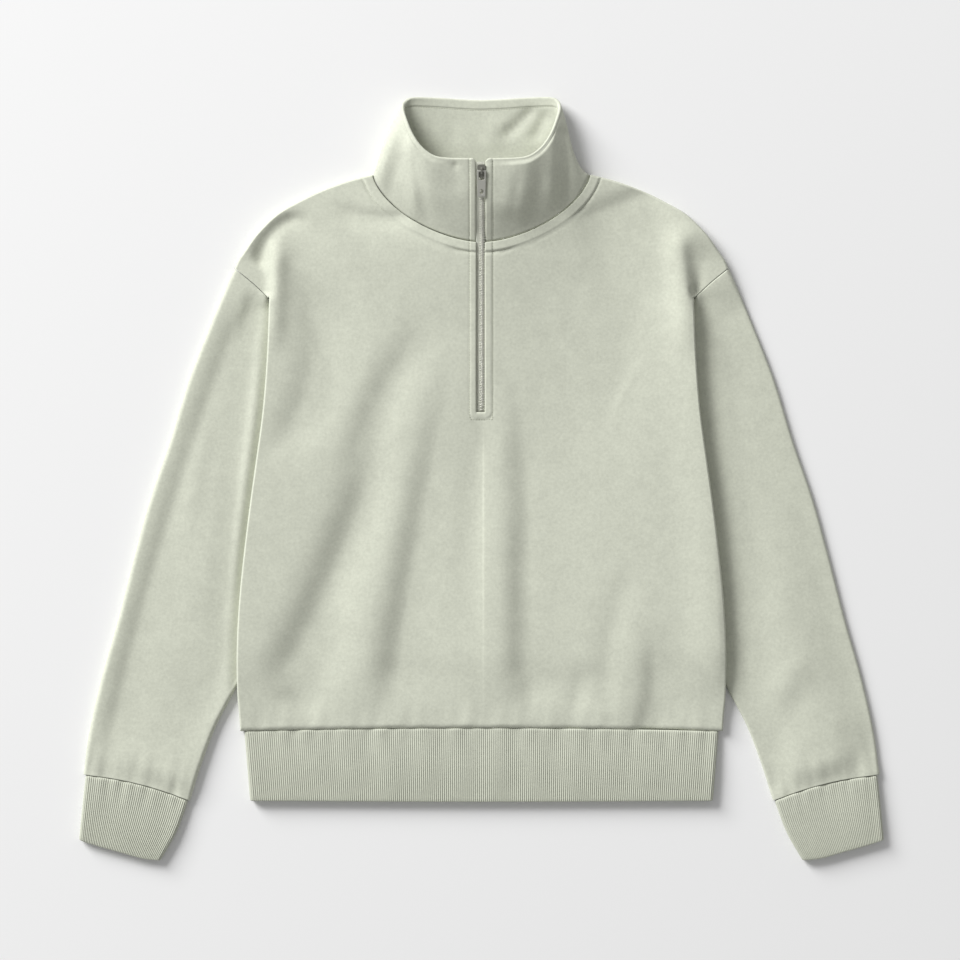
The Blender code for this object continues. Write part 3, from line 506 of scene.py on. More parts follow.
def under_height(x, y):
    """Underside of the back: 0, and lifted where it lies on a sleeve, below the armhole."""
    rows = SLEEVE_UNDER_BODY
    edge = np.interp(y, rows[:, 0], rows[:, 1], left=300.0, right=300.0)
    below_armhole = 1.0 - ramp((y - SIDE_TOP[1]) / 6.0)
    return UNDER_LIFT * below_armhole * ramp((np.abs(x) - edge + LIFT_START) / (LIFT_START - LIFT_END))


def shoulder_cap(x, y):
    """Share of the low shoulder cap, outside the fold that runs up from the side line."""
    above = y - SIDE_TOP[1]
    crest = SIDE_TOP[0] - CAP_LEAN * above
    width = CAP_WIDTH + CAP_WIDENING * np.maximum(above, 0.0)
    reach = ramp((above + 4.0) / 12.0) * ramp((CAP_REACH - above) / 35.0)
    return reach * ramp((np.abs(x) - crest + 6.0) / width)


def front_height(x, y):
    """Top of the front: over the back, up at the collar, with its folds."""
    neck = NECK_RISE * np.exp(-((x / 75.0) ** 2) - ((y - 240.0) / 60.0) ** 2)
    rise = BODY_RISE * ramp((y - HEM_SEAM_Y) / 80.0) * ramp((330.0 - y) / 110.0)
    height = REST_TOP + rise + neck + fold_field(x, y, FRONT_FOLDS)
    cap = shoulder_cap(x, y)
    height = height * (1.0 - cap) + CAP_TOP * cap + fold_field(x, y, CAP_FOLDS)
    lowest = under_height(x, y) + 2.0 * FLEECE + LEAST_ROOM
    spare = height - lowest
    return lowest + 0.5 * (spare + np.sqrt(spare * spare + 1.0))


# %% [markdown]
# ## Outlines
#
# Each edge of a body panel is a short list of measured points on the right-hand half. The left
# half mirrors them. The neck is an egg-shaped curve: |x/w|^n + |y/d|^n = 1. A panel could be an
# outline that is filled with triangles, but a sheet stretched between its four edges keeps even
# rows, which folds and seams need. So each panel is a Coons patch.

# %% Outline curves of the body
HEM_HALF_WIDTH = 241.5
HEM_SAG = 3.2
SLOT_HALF_WIDTH = 6.0
SLOT_END_Y = 69.5
NECK_HALF_WIDTH = 109.3
NECK_DEPTH = 71.0
NECK_TOP_Y = 309.5
NECK_POWER = 1.65
HIGH_LINE_POWER = 6
SIDE_LINE = [(241.5, -249.7), (244.5, -203.5), (244.5, -158.5), (242.0, -115.5),
             (237.0, -66.5), (231.0, -18.5), (226.0, 17.5), (219.0, 69.5),
             (214.5, 126.5), (212.3, 183.5)]
ARMHOLE_LINE = [(212.3, 183.5), (229.5, 199.3), (247.0, 213.5)]
SHOULDER_LINE = [(247.0, 213.5), (243.5, 221.5), (236.5, 231.5), (228.5, 243.5), (218.0, 255.5),
                 (205.0, 267.5), (184.5, 279.5), (159.5, 291.5), (128.0, 302.5), (109.7, 307.0)]
BACK_NECK_LINE = [(0.0, 293.7), (30.0, 294.6), (60.0, 297.4), (96.0, 303.8), (109.7, 307.0)]


def hem_seam_y(x):
    """The hem seam sags a little towards the sides."""
    return HEM_SEAM_Y - HEM_SAG * (x / HEM_HALF_WIDTH) ** 2


def hem_line(start_x, end_x, samples, below=0.0):
    """Path along the hem seam, or so far below it."""
    x = np.linspace(start_x, end_x, samples)
    return smooth_path(np.column_stack([x, hem_seam_y(x) - below]))


def neck_curve():
    """Front neck seam from the zip edge out to the shoulder."""
    turn = np.linspace(math.pi / 2, 0.07, 400)
    curve = np.stack([NECK_HALF_WIDTH * np.cos(turn) ** (2.0 / NECK_POWER),
                      NECK_TOP_Y - NECK_DEPTH * np.sin(turn) ** (2.0 / NECK_POWER)], axis=-1)
    curve = curve[curve[:, 0] > SLOT_HALF_WIDTH]
    start = [[SLOT_HALF_WIDTH, curve[0, 1]]]
    return smooth_path(np.concatenate([start, curve[4::8], [SHOULDER_LINE[-1]]]))


def joined(*lines):
    """Several curves walked as one, each keeping its own length."""
    lengths = np.cumsum([0.0] + [line.length for line in lines])

    def at(share):
        here = np.asarray(share, float) * lengths[-1]
        parts = [line(np.clip((here - low) / line.length, 0.0, 1.0)) for line, low in
                 zip(lines, lengths)]
        which = np.clip(np.searchsorted(lengths, here, side="right") - 1, 0, len(lines) - 1)
        return np.take_along_axis(np.stack(parts), which[None, ..., None], axis=0)[0]

    at.length = lengths[-1]
    return at


def stretched(u, v, lines, power=1):
    """Coons patch: the cloth stretched between a low, a high, a left and a right line.

    Both pairs of lines are mixed by the shares u and v, and the mix of the corners is taken
    away. The high line counts by v to a power, and a large power keeps it near itself.
    """
    low_line, high_line, left_line, right_line = lines
    across, up = np.asarray(u)[..., None], np.asarray(v)[..., None] ** power
    between_ends = (1.0 - up) * low_line(u) + up * high_line(u)
    between_sides = (1.0 - across) * left_line(v) + across * right_line(v)
    corners = ((1.0 - up) * ((1.0 - across) * low_line(0.0) + across * low_line(1.0))
               + up * ((1.0 - across) * high_line(0.0) + across * high_line(1.0)))
    return between_ends + between_sides - corners


front_hem = hem_line(SLOT_HALF_WIDTH, HEM_HALF_WIDTH, 30)
side_line, armhole_line, shoulder_line = map(smooth_path, (SIDE_LINE, ARMHOLE_LINE, SHOULDER_LINE))
outer_line = joined(side_line, armhole_line, shoulder_line)
neck_line = neck_curve()
print("side, armhole, shoulder, neck:",
      [round(line.length) for line in (side_line, armhole_line, shoulder_line, neck_line)], "mm")


# %% [markdown]
# ## How far a point lies from an edge
#
# Rolled edges, seam valleys and stitch grooves all follow an edge at a set distance. So each
# point of a panel gets its distance to each edge curve, and the reliefs are functions of it.

# %% Distances and edge reliefs
def distance_to(points, line, samples=400):
    """Shortest distance of each plan point to a curve, with the share of the curve there."""
    stops = line(np.linspace(0.0, 1.0, samples))
    start, run = stops[:-1], np.diff(stops, axis=0)
    flat = points.reshape(-1, 2)
    away = flat[:, None] - start[None]
    held = np.clip((away * run).sum(axis=2) / (run * run).sum(axis=1), 0.0, 1.0)
    gaps = np.linalg.norm(away - held[..., None] * run, axis=2)
    best = gaps.argmin(axis=1)
    shares = (best + held[np.arange(len(flat)), best]) / (samples - 1)
    return gaps.min(axis=1).reshape(points.shape[:-1]), shares.reshape(points.shape[:-1])


def rolled(distance, radius, turn=90.0):
    """Drop of an edge that curls down: a circle of that radius through that many degrees."""
    reach = radius * math.sin(math.radians(turn))
    inward = np.clip(distance, 0.0, reach)
    return radius - np.sqrt(np.maximum(radius**2 - (reach - inward) ** 2, 0.0))


def rolled_over(distance, reach, drop):
    """Drop of an edge that curls right over: a quarter of an ellipse, reach wide and drop high."""
    inward = np.clip(1.0 - distance / reach, 0.0, 1.0)
    return drop * (1.0 - np.sqrt(1.0 - inward * inward))


def groove(distance, at, half_width, depth):
    """Narrow stitched valley at a set distance from an edge."""
    return -depth * np.exp(-(((distance - at) / half_width) ** 2))


def welt(distance, width, rise, soft=1.2):
    """Raised band from an edge up to that width, where the seam allowance lies under it."""
    return rise * ramp((width - distance) / soft + 0.5)


# %% [markdown]
# ## Front panel
#
# The front is cut in one piece with a slot for the zip. Each half is a sheet stretched between
# its hem, its outer edge, its neck seam and the line beside the zip. A narrow strip joins the
# halves below the slot. Cutting the slot with a boolean would leave a ragged edge, so the strip's
# faces are left out above the slot's foot instead. Heights come last: the form of the body, less
# the roll of each edge, plus the band and groove of each seam. Solidify adds the wall behind.

# %% Seams and edges of the front
ZIP_WELT = 6.2
SLOT_WELT_BELOW = 7.5
NECK_WELT = 9.6
EDGE_SHIFT = 2.6
LEFT_EDGE_SHIFT = 0.8
# radius and turn of the roll at the armhole, and the share of it that the left one has
ARM_ROLL = (1.4, 35.0)
LEFT_ARM_SHARE = 0.4


def shown_x(x):
    """Brings the right placket edge closer to the teeth than the left one, as it is sewn."""
    aside = np.abs(x)
    share = ramp(aside / SLOT_HALF_WIDTH) * (1.0 - ramp((aside - SLOT_HALF_WIDTH) / 12.0))
    return x - np.where(x > 0.0, EDGE_SHIFT, -LEFT_EDGE_SHIFT) * share


def front_relief(plan):
    """Height of the front with its rolled edges, seam valleys and stitch grooves."""
    x, y = np.abs(plan[..., 0]), plan[..., 1]
    folded = np.stack([x, y], axis=-1)
    height = front_height(plan[..., 0], y)
    seam = under_height(x, y) + EDGE_STACK
    side, _ = distance_to(folded, side_line)
    arm, arm_share = distance_to(folded, armhole_line)
    shoulder, _ = distance_to(folded, shoulder_line)
    neck, _ = distance_to(folded, neck_line)
    hem = y - hem_seam_y(x)
    beside = np.maximum(x - SLOT_HALF_WIDTH, 0.0)
    below = np.maximum(SLOT_END_Y - y, 0.0) * ZIP_WELT / SLOT_WELT_BELOW
    slot = np.where(y > SLOT_END_Y, beside, np.hypot(beside, below))
    hand_share = np.where(plan[..., 0] < 0.0, LEFT_ARM_SHARE, 1.0)
    arm_drop = rolled(arm, *ARM_ROLL) * ramp(arm_share / 0.12) * hand_share
    drop = np.maximum.reduce([rolled_over(side, 1.9, height - seam),
                              rolled_over(shoulder, 2.4, height - seam),
                              arm_drop, rolled(hem, 6.0, 50.0)])
    height = height - drop - rolled(neck, 2.0, 30.0) - rolled(slot, 1.5, 50.0)
    height = height + welt(neck, NECK_WELT, 0.8) + groove(neck, NECK_WELT + 0.4, 1.1, 1.0)
    height = height + welt(slot, ZIP_WELT, 0.45) + groove(slot, ZIP_WELT, 0.8, 0.4)
    gathers = 0.5 * ripple(plan[..., 0], y * 0.25, 20.0, 5) * (1.0 - ramp(hem / 45.0))
    return height + gathers * ramp(hem / 4.0)


# %% Front panel
across = spaced((14.0, 0.9), (214.0, 3.1), (4.0, 1.0), (4.0, 0.5))
along = spaced((8.0, 1.4), (side_line.length - 38.0, 5.4), (30.0, 2.0), (armhole_line.length, 1.3),
               (30.0, 2.0), (shoulder_line.length - 46.0, 4.6), (16.0, 1.2))
slot_side = smooth_path([(SLOT_HALF_WIDTH, hem_seam_y(SLOT_HALF_WIDTH)),
                         (SLOT_HALF_WIDTH, neck_line(0.0)[1])])
slot_share = (SLOT_END_Y - slot_side(0.0)[1]) / slot_side.length
along[np.abs(along - slot_share).argmin()] = slot_share
half = stretched(*np.meshgrid(across, along), (front_hem, neck_line, slot_side, outer_line),
                 HIGH_LINE_POWER)
bridge_x = np.linspace(-SLOT_HALF_WIDTH, SLOT_HALF_WIDTH, 11)[1:-1]
bridge = np.stack(np.broadcast_arrays(bridge_x[None], half[:, :1, 1]), axis=-1)
plan = np.concatenate([half[:, ::-1] * [-1.0, 1.0], bridge, half], axis=1)
front_grid = np.dstack([shown_x(plan[..., 0]), plan[..., 1], front_relief(plan)])
keep = np.ones((len(along) - 1, plan.shape[1] - 1), bool)
slot_row = np.abs(along - slot_share).argmin()
middle = slice(len(across) - 1, len(across) + len(bridge_x))
keep[slot_row:, middle] = False
front = grid_piece("front", front_grid, plan, keep=keep)
thicken(front, FLEECE)
dress(front, fleece, replaced=["front_panel"])

# %% [markdown]
# ## Back panel
#
# The back is the lower layer. From above only its rolled edge shows beside the front, but it is
# a whole panel, and its underside is what rests on the table. It is made as the front is, with
# wider cells, because nothing of it but the edge is seen.

# %% Back panel
back_hem = hem_line(0.0, HEM_HALF_WIDTH, 30)
back_neck = smooth_path(BACK_NECK_LINE)
centre_line = smooth_path([(0.0, hem_seam_y(0.0)), BACK_NECK_LINE[0]])
across = spaced((226.0, 6.0), (8.0, 1.0))
along = spaced((10.0, 2.0), (540.0, 6.5))
half = stretched(*np.meshgrid(across, along), (back_hem, back_neck, centre_line, outer_line),
                 HIGH_LINE_POWER)
plan = np.concatenate([half[:, :0:-1] * [-1.0, 1.0], half], axis=1)
folded = np.stack([np.abs(plan[..., 0]), plan[..., 1]], axis=-1)
edge = np.minimum(distance_to(folded, side_line)[0], distance_to(folded, shoulder_line)[0])
underside = under_height(plan[..., 0], plan[..., 1]) + rolled(edge, EDGE_STACK - 0.3)
back = grid_piece("back", np.dstack([plan, underside]), plan, flip=True)
thicken(back, FLEECE)
dress(back, fleece, replaced=["back_panel"])

# %% [markdown]
# ## Sleeves
#
# A sleeve is a flattened tube, so its section is a flat bottom, a crowned top and two folded
# edges. It could be two sheets that are sewn at the edges, but the fold would then be a crease.
# Sections are set one after another from the armhole to the cuff instead, and the grid goes on
# up the inside, which gives the tube its wall and open ends. The body presses on the inner part,
# which stays thin, and the two sleeves differ in how they rise from it.

# %% Sleeve lines and folds
HIDDEN_ARMHOLE_LINE = [(180.0, 136.5), (152.0, 88.0), (140.0, 56.5)]
SLEEVE_OUTER_LINE = [(247.4, 213.1), (257.0, 191.5), (269.5, 161.5), (293.0, 101.5),
                     (311.5, 41.5), (332.0, -18.5), (348.5, -78.5), (364.0, -138.5),
                     (381.0, -198.5), (394.0, -258.5), (398.5, -293.2)]
SLEEVE_INNER_LINE = [(140.0, 56.5), (192.5, -74.3), (245.0, -205.1), (266.5, -246.5),
                     (281.0, -285.1), (291.8, -319.4)]
CUFF_SEAM_LINE = [(398.5, -293.2), (358.5, -299.2), (324.5, -307.8), (291.8, -319.4)]
SLEEVE_LENGTH = 576.0
SLEEVE_FLAT = 4.6
SLEEVE_LOWEST = 5.0
SLEEVE_END = 7.4
# where a sleeve meets the front: length of the blend, its growth outward, highest seam
SEAM_BLEND = 14.0
SEAM_BLEND_GROWTH = 36.0
HIGHEST_SEAM = 10.2
LEFT_SLEEVE_FOLDS = [
    (-226.0, 200.0, -378.0, -300.0, -11.0, 12.0, 50.0, -3.8, 0.15, 0.15),
    (-226.0, 200.0, -238.0, 135.0, 0.0, 6.0, 8.0, -2.2, 0.25, 0.35),
    (-219.3, 238.9, -236.3, 128.3, 2.9, 7.8, 13.0, -3.1, 0.30, 0.40),
    (-267.9, 94.7, -307.1, -99.2, -0.4, 11.6, 9.8, 1.1, 0.40, 0.40),
    (-212.7, 254.8, -267.1, -250.6, -4.2, 18.2, 7.3, -2.8, 0.40, 0.40),
    (-250.4, -54.1, -326.9, -304.9, 24.9, 52.9, 18.8, -3.2, 0.40, 0.40),
    (-257.2, -163.6, -315.3, -300.2, -9.2, 28.8, 16.0, -1.5, 0.40, 0.20),
]
RIGHT_SLEEVE_FOLDS = [
    (324.9, -167.7, 299.9, -233.3, -7.8, 12.9, 14.4, 1.4, 0.40, 0.40),
    (282.0, -114.8, 277.1, -249.5, -11.8, 19.0, 8.1, 1.7, 0.40, 0.40),
    (342.9, -182.4, 288.4, -286.4, -7.9, 16.8, 21.2, -1.9, 0.40, 0.30),
    (243.9, 201.8, 288.9, -160.8, -4.4, 10.5, 26.5, -3.3, 0.30, 0.30),
    (275.6, 45.7, 332.9, -192.1, -0.1, 17.8, 14.6, -1.1, 0.30, 0.30),
    (355.6, -190.7, 337.0, -330.9, 13.8, 20.2, 32.5, 1.9, 0.40, 0.20),
    (303.6, -74.9, 269.9, -163.5, -2.6, 10.0, 13.4, -0.5, 0.40, 0.40),
]
# name, side, folds, then height of the outer edge, crown above it and how far in the crown is
# reached, then how far outside the body the sleeve starts to come up and how long it takes
SLEEVES = [
    ("left_sleeve", -1.0, LEFT_SLEEVE_FOLDS, (9.0, 2.0, 90.0), (-3.5, 15.0), "sleeve_left"),
    ("right_sleeve", 1.0, RIGHT_SLEEVE_FOLDS, (4.4, 6.0, 60.0), (4.0, 80.0), "sleeve_right"),
]

# %% Sleeve sections
seen_armhole = armhole_line(np.linspace(1.0, 0.0, 9)) + [0.1, -0.12]
sleeve_start = smooth_path(np.concatenate([seen_armhole, HIDDEN_ARMHOLE_LINE]))
sleeve_lines = [sleeve_start] + [smooth_path(line) for line in
                                 (CUFF_SEAM_LINE, SLEEVE_OUTER_LINE, SLEEVE_INNER_LINE)]
side_table = np.array([(y, x) for x, y in SIDE_LINE] + [(196.0, 200.0), (220.0, 175.0)])


def sleeve_top(across, station, width, side, folds, form, pressed_from):
    """Plan place and top height of the sleeve, across from its outer edge at one station."""
    spot = stretched(across / width, np.broadcast_to(station, across.shape), sleeve_lines)
    x, y = spot[..., 0], spot[..., 1]
    outside = x - np.interp(y, side_table[:, 0], side_table[:, 1])
    edge, crown, reach = form
    swell = ramp(across / reach) * ramp((width - across) / 40.0)
    free = edge + crown * swell + fold_field(x * side, y, folds)
    free = free + (SLEEVE_END - free) * ramp((station - 0.95) / 0.05)
    spare = free - SLEEVE_LOWEST
    free = SLEEVE_LOWEST + 0.5 * (spare + np.sqrt(spare**2 + 0.6))
    start, length = pressed_from
    pressed = ramp((outside - start) / length)
    gathers = 0.8 * ripple(across, station * 90.0, 17.0, 11) * ramp((station - 0.9) / 0.1) * pressed
    top = SLEEVE_FLAT + (free - SLEEVE_FLAT) * pressed + np.minimum(gathers, 0.2)
    from_seam = station * SLEEVE_LENGTH
    clear = ramp((outside + 1.0) / 4.0)
    seam = sleeve_lines[0](across / width)
    beside = np.minimum(front_height(seam[..., 0] * side, seam[..., 1]), HIGHEST_SEAM)
    blend = SEAM_BLEND + SEAM_BLEND_GROWTH * ramp(outside / 40.0)
    top = top + (beside - top) * (1.0 - ramp(from_seam / blend)) * clear
    hand_share = LEFT_ARM_SHARE if side < 0 else 1.0
    return spot, top - rolled(from_seam, *ARM_ROLL) * clear * hand_share


def sleeve_piece(name, side, folds, form, pressed_from, node):
    """Torus grid: sections down the outer skin, then back up the inner skin."""
    down = spaced((6.0, 1.0), (560.0, 4.0), (10.0, 1.0))
    fold_turn = np.linspace(0.0, math.pi, 5)[1:-1]
    stations = np.concatenate([down, 1.0 + np.sin(fold_turn) * 0.001, down[::-9]])
    depths = np.concatenate([np.zeros(len(down)), (1.0 - np.cos(fold_turn)) * FLEECE / 2.0,
                             np.full(len(down[::-9]), FLEECE)])
    t = stations.clip(0.0, 1.0)[:, None]
    ends = stretched(np.array([[0.0, 1.0]]), t, sleeve_lines)
    widths = np.linalg.norm(ends[:, 1] - ends[:, 0], axis=1)[:, None]
    radii = [sleeve_top(spot, t, widths, side, folds, form, pressed_from)[1] / 2.0
             for spot in (np.full_like(widths, 4.0), widths - 4.0)]
    turn = np.radians(np.linspace(-90.0, 90.0, 13))[None]
    wall = depths[:, None]
    outer_x = radii[0] - (radii[0] - wall) * np.cos(turn)
    inner_x = widths - radii[1] + (radii[1] - wall) * np.cos(turn)
    top = radii[0] + (widths - radii[0] - radii[1]) * np.linspace(0.0, 1.0, 52)[None, 1:-1]
    bottom = radii[0] + (widths - radii[0] - radii[1]) * np.linspace(1.0, 0.0, 20)[None, 1:-1]
    across = np.concatenate([outer_x, top, inner_x[:, ::-1], bottom], axis=1)
    rise = np.broadcast_to(0.5 + 0.5 * np.sin(turn), outer_x.shape)
    up = np.concatenate([rise, np.ones_like(top), rise[:, ::-1], np.zeros_like(bottom)], axis=1)
    spot, height = sleeve_top(across, t, widths, side, folds, form, pressed_from)
    on_edge = (up < 1.0) & (up > 0.0)
    height = np.where(on_edge, 2.0 * np.where(across < widths / 2, radii[0], radii[1]), height)
    z = wall + up * (height - 2.0 * wall)
    points = np.dstack([spot[..., 0] * side, spot[..., 1], z])
    uv = np.dstack([across, np.broadcast_to(stations[:, None] * SLEEVE_LENGTH, across.shape)])
    made = grid_piece(name, points, uv, close_rows=True, close_columns=True, flip=side < 0)
    return dress(made, fleece, replaced=[node])


# %% Both sleeves
left_sleeve, right_sleeve = [sleeve_piece(*row) for row in SLEEVES]

# %% [markdown]
# ## Ribbed hem and cuffs
#
# The bands are one by one rib, folded double, so they are flattened tubes whose skin rises and
# falls once for each rib. The ribs could be bump, but they show on the outline of the folded
# edge, so they are real shape, six points each. The small stitches along them are bump, and the
# valleys carry a mask that darkens them, because little light reaches into a knitted valley.

# %% Ribbed tube
RIB_HEIGHT = 0.6
POINTS_PER_RIB = 6


def ribbed_piece(name, lines, top, side, node, seed, swollen):
    """Torus grid of a ribbed tube: down the outer skin, round the fold, back inside.

    Round the tube the ribs are a cosine, and `swollen` is how much thicker the folded end is.
    """
    length = lines[2].length
    fold_turn = np.linspace(0.0, math.pi, 7)
    fold = RIB_CLOTH / 2.0
    outer_t = np.array([0.0, 0.6, 1.6, 3.0, 12.0, 25.0, 38.0, 50.0, length - fold - 3.0])
    outer_depth = np.array([1.2, 0.5, 0.1, 0.0, 0.0, 0.0, 0.0, 0.0, 0.0])
    end_t = length - fold + fold * np.sin(fold_turn)
    end_depth = fold * (1.0 - np.cos(fold_turn))
    inner_t = np.array([length / 2.0, 0.0])
    t = np.concatenate([outer_t, end_t, inner_t])[:, None] / length
    depth = np.concatenate([outer_depth, end_depth, [RIB_CLOTH, RIB_CLOTH]])[:, None]
    ribbed = np.clip(1.0 - depth / 1.6, 0.0, 1.0)
    ends = stretched(np.array([[0.0, 1.0]]), t, lines)
    width = np.linalg.norm(ends[:, 1] - ends[:, 0], axis=1)[:, None]
    radius = top / 2.0
    flat = width - 2.0 * radius
    around = 2.0 * flat + 2.0 * math.pi * radius
    ribs = int(round(around[0, 0] / RIB_PITCH))
    share = np.arange(ribs * POINTS_PER_RIB)[None] / (ribs * POINTS_PER_RIB)
    walked = share * around
    half_turn = math.pi * radius
    ridge = 0.5 + 0.5 * np.cos(2.0 * math.pi * share * ribs)
    inset = depth + RIB_HEIGHT * (1.0 - ridge) * ribbed
    on_top = walked < flat
    on_far = (walked >= flat) & (walked < flat + half_turn)
    on_bottom = (walked >= flat + half_turn) & (walked < 2.0 * flat + half_turn)
    far_turn = (walked - flat) / radius
    near_turn = (walked - 2.0 * flat - half_turn) / radius
    across = np.select([on_top, on_far, on_bottom],
                       [radius + walked, width - radius + (radius - inset) * np.sin(far_turn),
                        width - radius - (walked - flat - half_turn)],
                       radius - (radius - inset) * np.sin(near_turn))
    z = np.select([on_top, on_far, on_bottom],
                  [top - inset, radius + (radius - inset) * np.cos(far_turn), inset],
                  radius - (radius - inset) * np.cos(near_turn))
    spot = stretched(across / width, np.broadcast_to(t, across.shape), lines)
    from_seam = t * length
    swell = 0.45 * ripple(across, from_seam * 0.2, 45.0, seed) + 0.7 * ripple(
        across, from_seam * 0.3, 15.0, seed + 1) * (1.0 - ramp(from_seam / 22.0))
    z = z + swell * on_top * ramp(walked / 12.0) * ramp((flat - walked) / 12.0) * ramp(
        (length - from_seam) / 12.0) * (depth < RIB_CLOTH)
    z = z * (1.0 + swollen * ramp(from_seam / 50.0))
    points = np.dstack([spot[..., 0] * side, spot[..., 1], z])
    uv = np.dstack([np.broadcast_to(share * ribs * RIB_PITCH, across.shape),
                    np.broadcast_to(t * length, across.shape)])
    rightward = lines[0](1.0)[0] > lines[0](0.0)[0]
    made = grid_piece(name, points, uv, close_rows=True, close_columns=True,
                      flip=(side < 0) != rightward)
    # mask of the rib valleys, which the rib_knit material uses for painted shade there
    set_mask(made, "valley", (1.0 - ridge) * ribbed)
    print(name, ribs, "ribs round")
    return dress(made, rib_knit, replaced=[node])


# %% Hem band
HEM_BAND_TOP = 7.6
HEM_BAND_LENGTH = 73.0
BAND_SEAM_HALF = 237.5
BAND_END_HALF = 231.6
SEAM_GAP = 0.3
band_seam = hem_line(-BAND_SEAM_HALF, BAND_SEAM_HALF, 15, SEAM_GAP)
band_end_y = HEM_SEAM_Y - HEM_BAND_LENGTH
band_end = smooth_path([(-BAND_END_HALF, band_end_y), (0.0, band_end_y - 1.0),
                        (BAND_END_HALF, band_end_y)])
band_sides = [smooth_path([band_seam(end), (band_seam(end) + band_end(end)) / 2.0, band_end(end)])
              for end in (0.0, 1.0)]
hem = ribbed_piece("hem", (band_seam, band_end, *band_sides), HEM_BAND_TOP, 1.0, "hem_band", 21,
                   0.3)

# %% Cuffs
CUFF_TOP = 7.8
CUFF_OUTER_LINE = [(396.3, -294.0), (399.6, -326.0), (402.8, -358.6)]
CUFF_INNER_LINE = [(293.4, -319.6), (304.6, -350.0), (321.4, -379.3)]
CUFF_TOP_LINE = [(396.3, -294.0), (358.5, -299.7), (324.5, -308.3), (293.4, -319.6)]
CUFF_END_LINE = [(402.8, -358.6), (390.0, -362.9), (361.0, -371.2), (339.0, -377.2),
                 (321.4, -379.3)]
cuff_lines = [smooth_path(line) for line in
              (CUFF_TOP_LINE, CUFF_END_LINE, CUFF_OUTER_LINE, CUFF_INNER_LINE)]
left_cuff, right_cuff = [
    ribbed_piece(name, cuff_lines, CUFF_TOP, side, node, seed, 0.15)
    for name, side, node, seed in (("left_cuff", -1.0, "cuff_left", 31),
                                   ("right_cuff", 1.0, "cuff_right", 41))]

# %% [markdown]
# ## Collar
#
# The collar is a doubled band of fleece that stands at the front and lies down at the back.
# Straight lines run from its base curve to its top curve, with a slight outward bulge. The
# section goes up the outer face, round the folded rim and down the inner face. A sheet with a
# Solidify modifier would have a sharp rim and open ends, so the ring is drawn whole, and half
# circles close it beside the zip.

# %% Rows and folds of the collar
# base x, y and height (None: as high as the front is there), then the top's x, y and height
COLLAR_ROWS = [
    (6.0, 239.4, None, 5.9, 318.7, 40.0),
    (22.0, 242.2, None, 19.8, 318.8, 40.0),
    (40.0, 247.6, None, 34.6, 319.3, 39.2),
    (60.0, 256.5, None, 47.6, 321.7, 38.0),
    (78.0, 267.7, None, 59.5, 330.1, 36.0),
    (91.5, 279.7, None, 69.0, 343.2, 32.5),
    (101.0, 291.0, None, 75.6, 359.2, 26.5),
    (107.0, 301.3, 9.0, 79.2, 371.4, 18.5),
    (107.6, 307.0, 5.0, 78.0, 379.5, 11.0),
    (98.0, 305.3, 1.2, 70.0, 383.0, 5.0),
    (66.0, 299.2, 0.0, 45.0, 382.6, 1.0),
    (0.0, 294.2, 0.0, 0.0, 380.2, 0.0),
]
ROW_STEP = 16.0
COLLAR_BULGE = 3.0
CORNER_ROUNDING = 0.035
SIDE_ROUNDING = 5.0
RIGHT_SIDE_INWARD = 8.5
RIM_SEAM = 2.6
LINING_SEAM = 8.0

# folds of the standing front, then of the lining alone, in the columns of the front's folds
COLLAR_FOLDS = [
    (52.0, 350.0, 30.0, 256.0, 0.0, 24.0, 14.0, 4.0, 0.30, 0.20),
    (72.0, 356.0, 68.0, 268.0, 0.0, 13.0, 6.0, 2.8, 0.20, 0.35),
    (-72.0, 352.0, -62.0, 258.0, 0.0, 7.0, 34.0, 2.8, 0.20, 0.35),
    (80.0, 356.0, 84.0, 262.0, 3.0, 8.0, 6.0, -2.8, 0.12, 0.40),
    (38.0, 314.0, 30.0, 251.0, 0.0, 6.0, 6.0, -0.8, 0.30, 0.30),
    (64.0, 314.0, 48.0, 249.0, 0.0, 8.0, 8.0, -1.2, 0.30, 0.30),
    (-74.0, 332.0, -50.0, 252.0, 0.0, 8.0, 8.0, -2.0, 0.30, 0.40),
    (-27.0, 334.0, -27.0, 278.0, 0.0, 24.0, 9.0, -1.4, 0.25, 0.35),
    (-26.0, 320.0, -26.0, 306.0, 0.0, 3.0, 3.0, -0.8, 0.10, 0.60),
]
LINING_FOLDS = [
    (56.0, 377.0, 16.0, 338.0, 0.0, 5.0, 6.0, -2.6, 0.25, 0.35),
    (68.0, 374.0, 50.0, 336.0, 0.0, 7.0, 7.0, -2.2, 0.30, 0.30),
    (22.0, 370.0, 8.0, 328.0, 0.0, 8.0, 8.0, 1.0, 0.30, 0.30),
    (-27.0, 370.0, -30.0, 335.0, 0.0, 5.0, 5.0, -0.8, 0.30, 0.30),
]


# %% Helpers for the collar
def collar_rows(shares):
    """Base and top points round the collar, smoothly between the measured rows."""
    half = np.array([(bx, by, front_height(np.array([bx]), np.array([by]))[0] - 0.6
                      if bz is None else bz, tx, ty, tz) for bx, by, bz, tx, ty, tz in COLLAR_ROWS])
    rows = np.concatenate([half, half[-2::-1] * [-1.0, 1.0, 1.0, -1.0, 1.0, 1.0]])
    slopes = np.gradient(rows, axis=0)
    here = np.asarray(shares, float) * (len(rows) - 1.0)
    span = np.clip(here.astype(int), 0, len(rows) - 2)
    return cubic_between(rows, slopes, span, (here - span)[:, None])


def grid_normals(points):
    """Unit normals of a grid, from its two directions."""
    return unit(np.cross(np.gradient(points, axis=0), np.gradient(points, axis=1)))


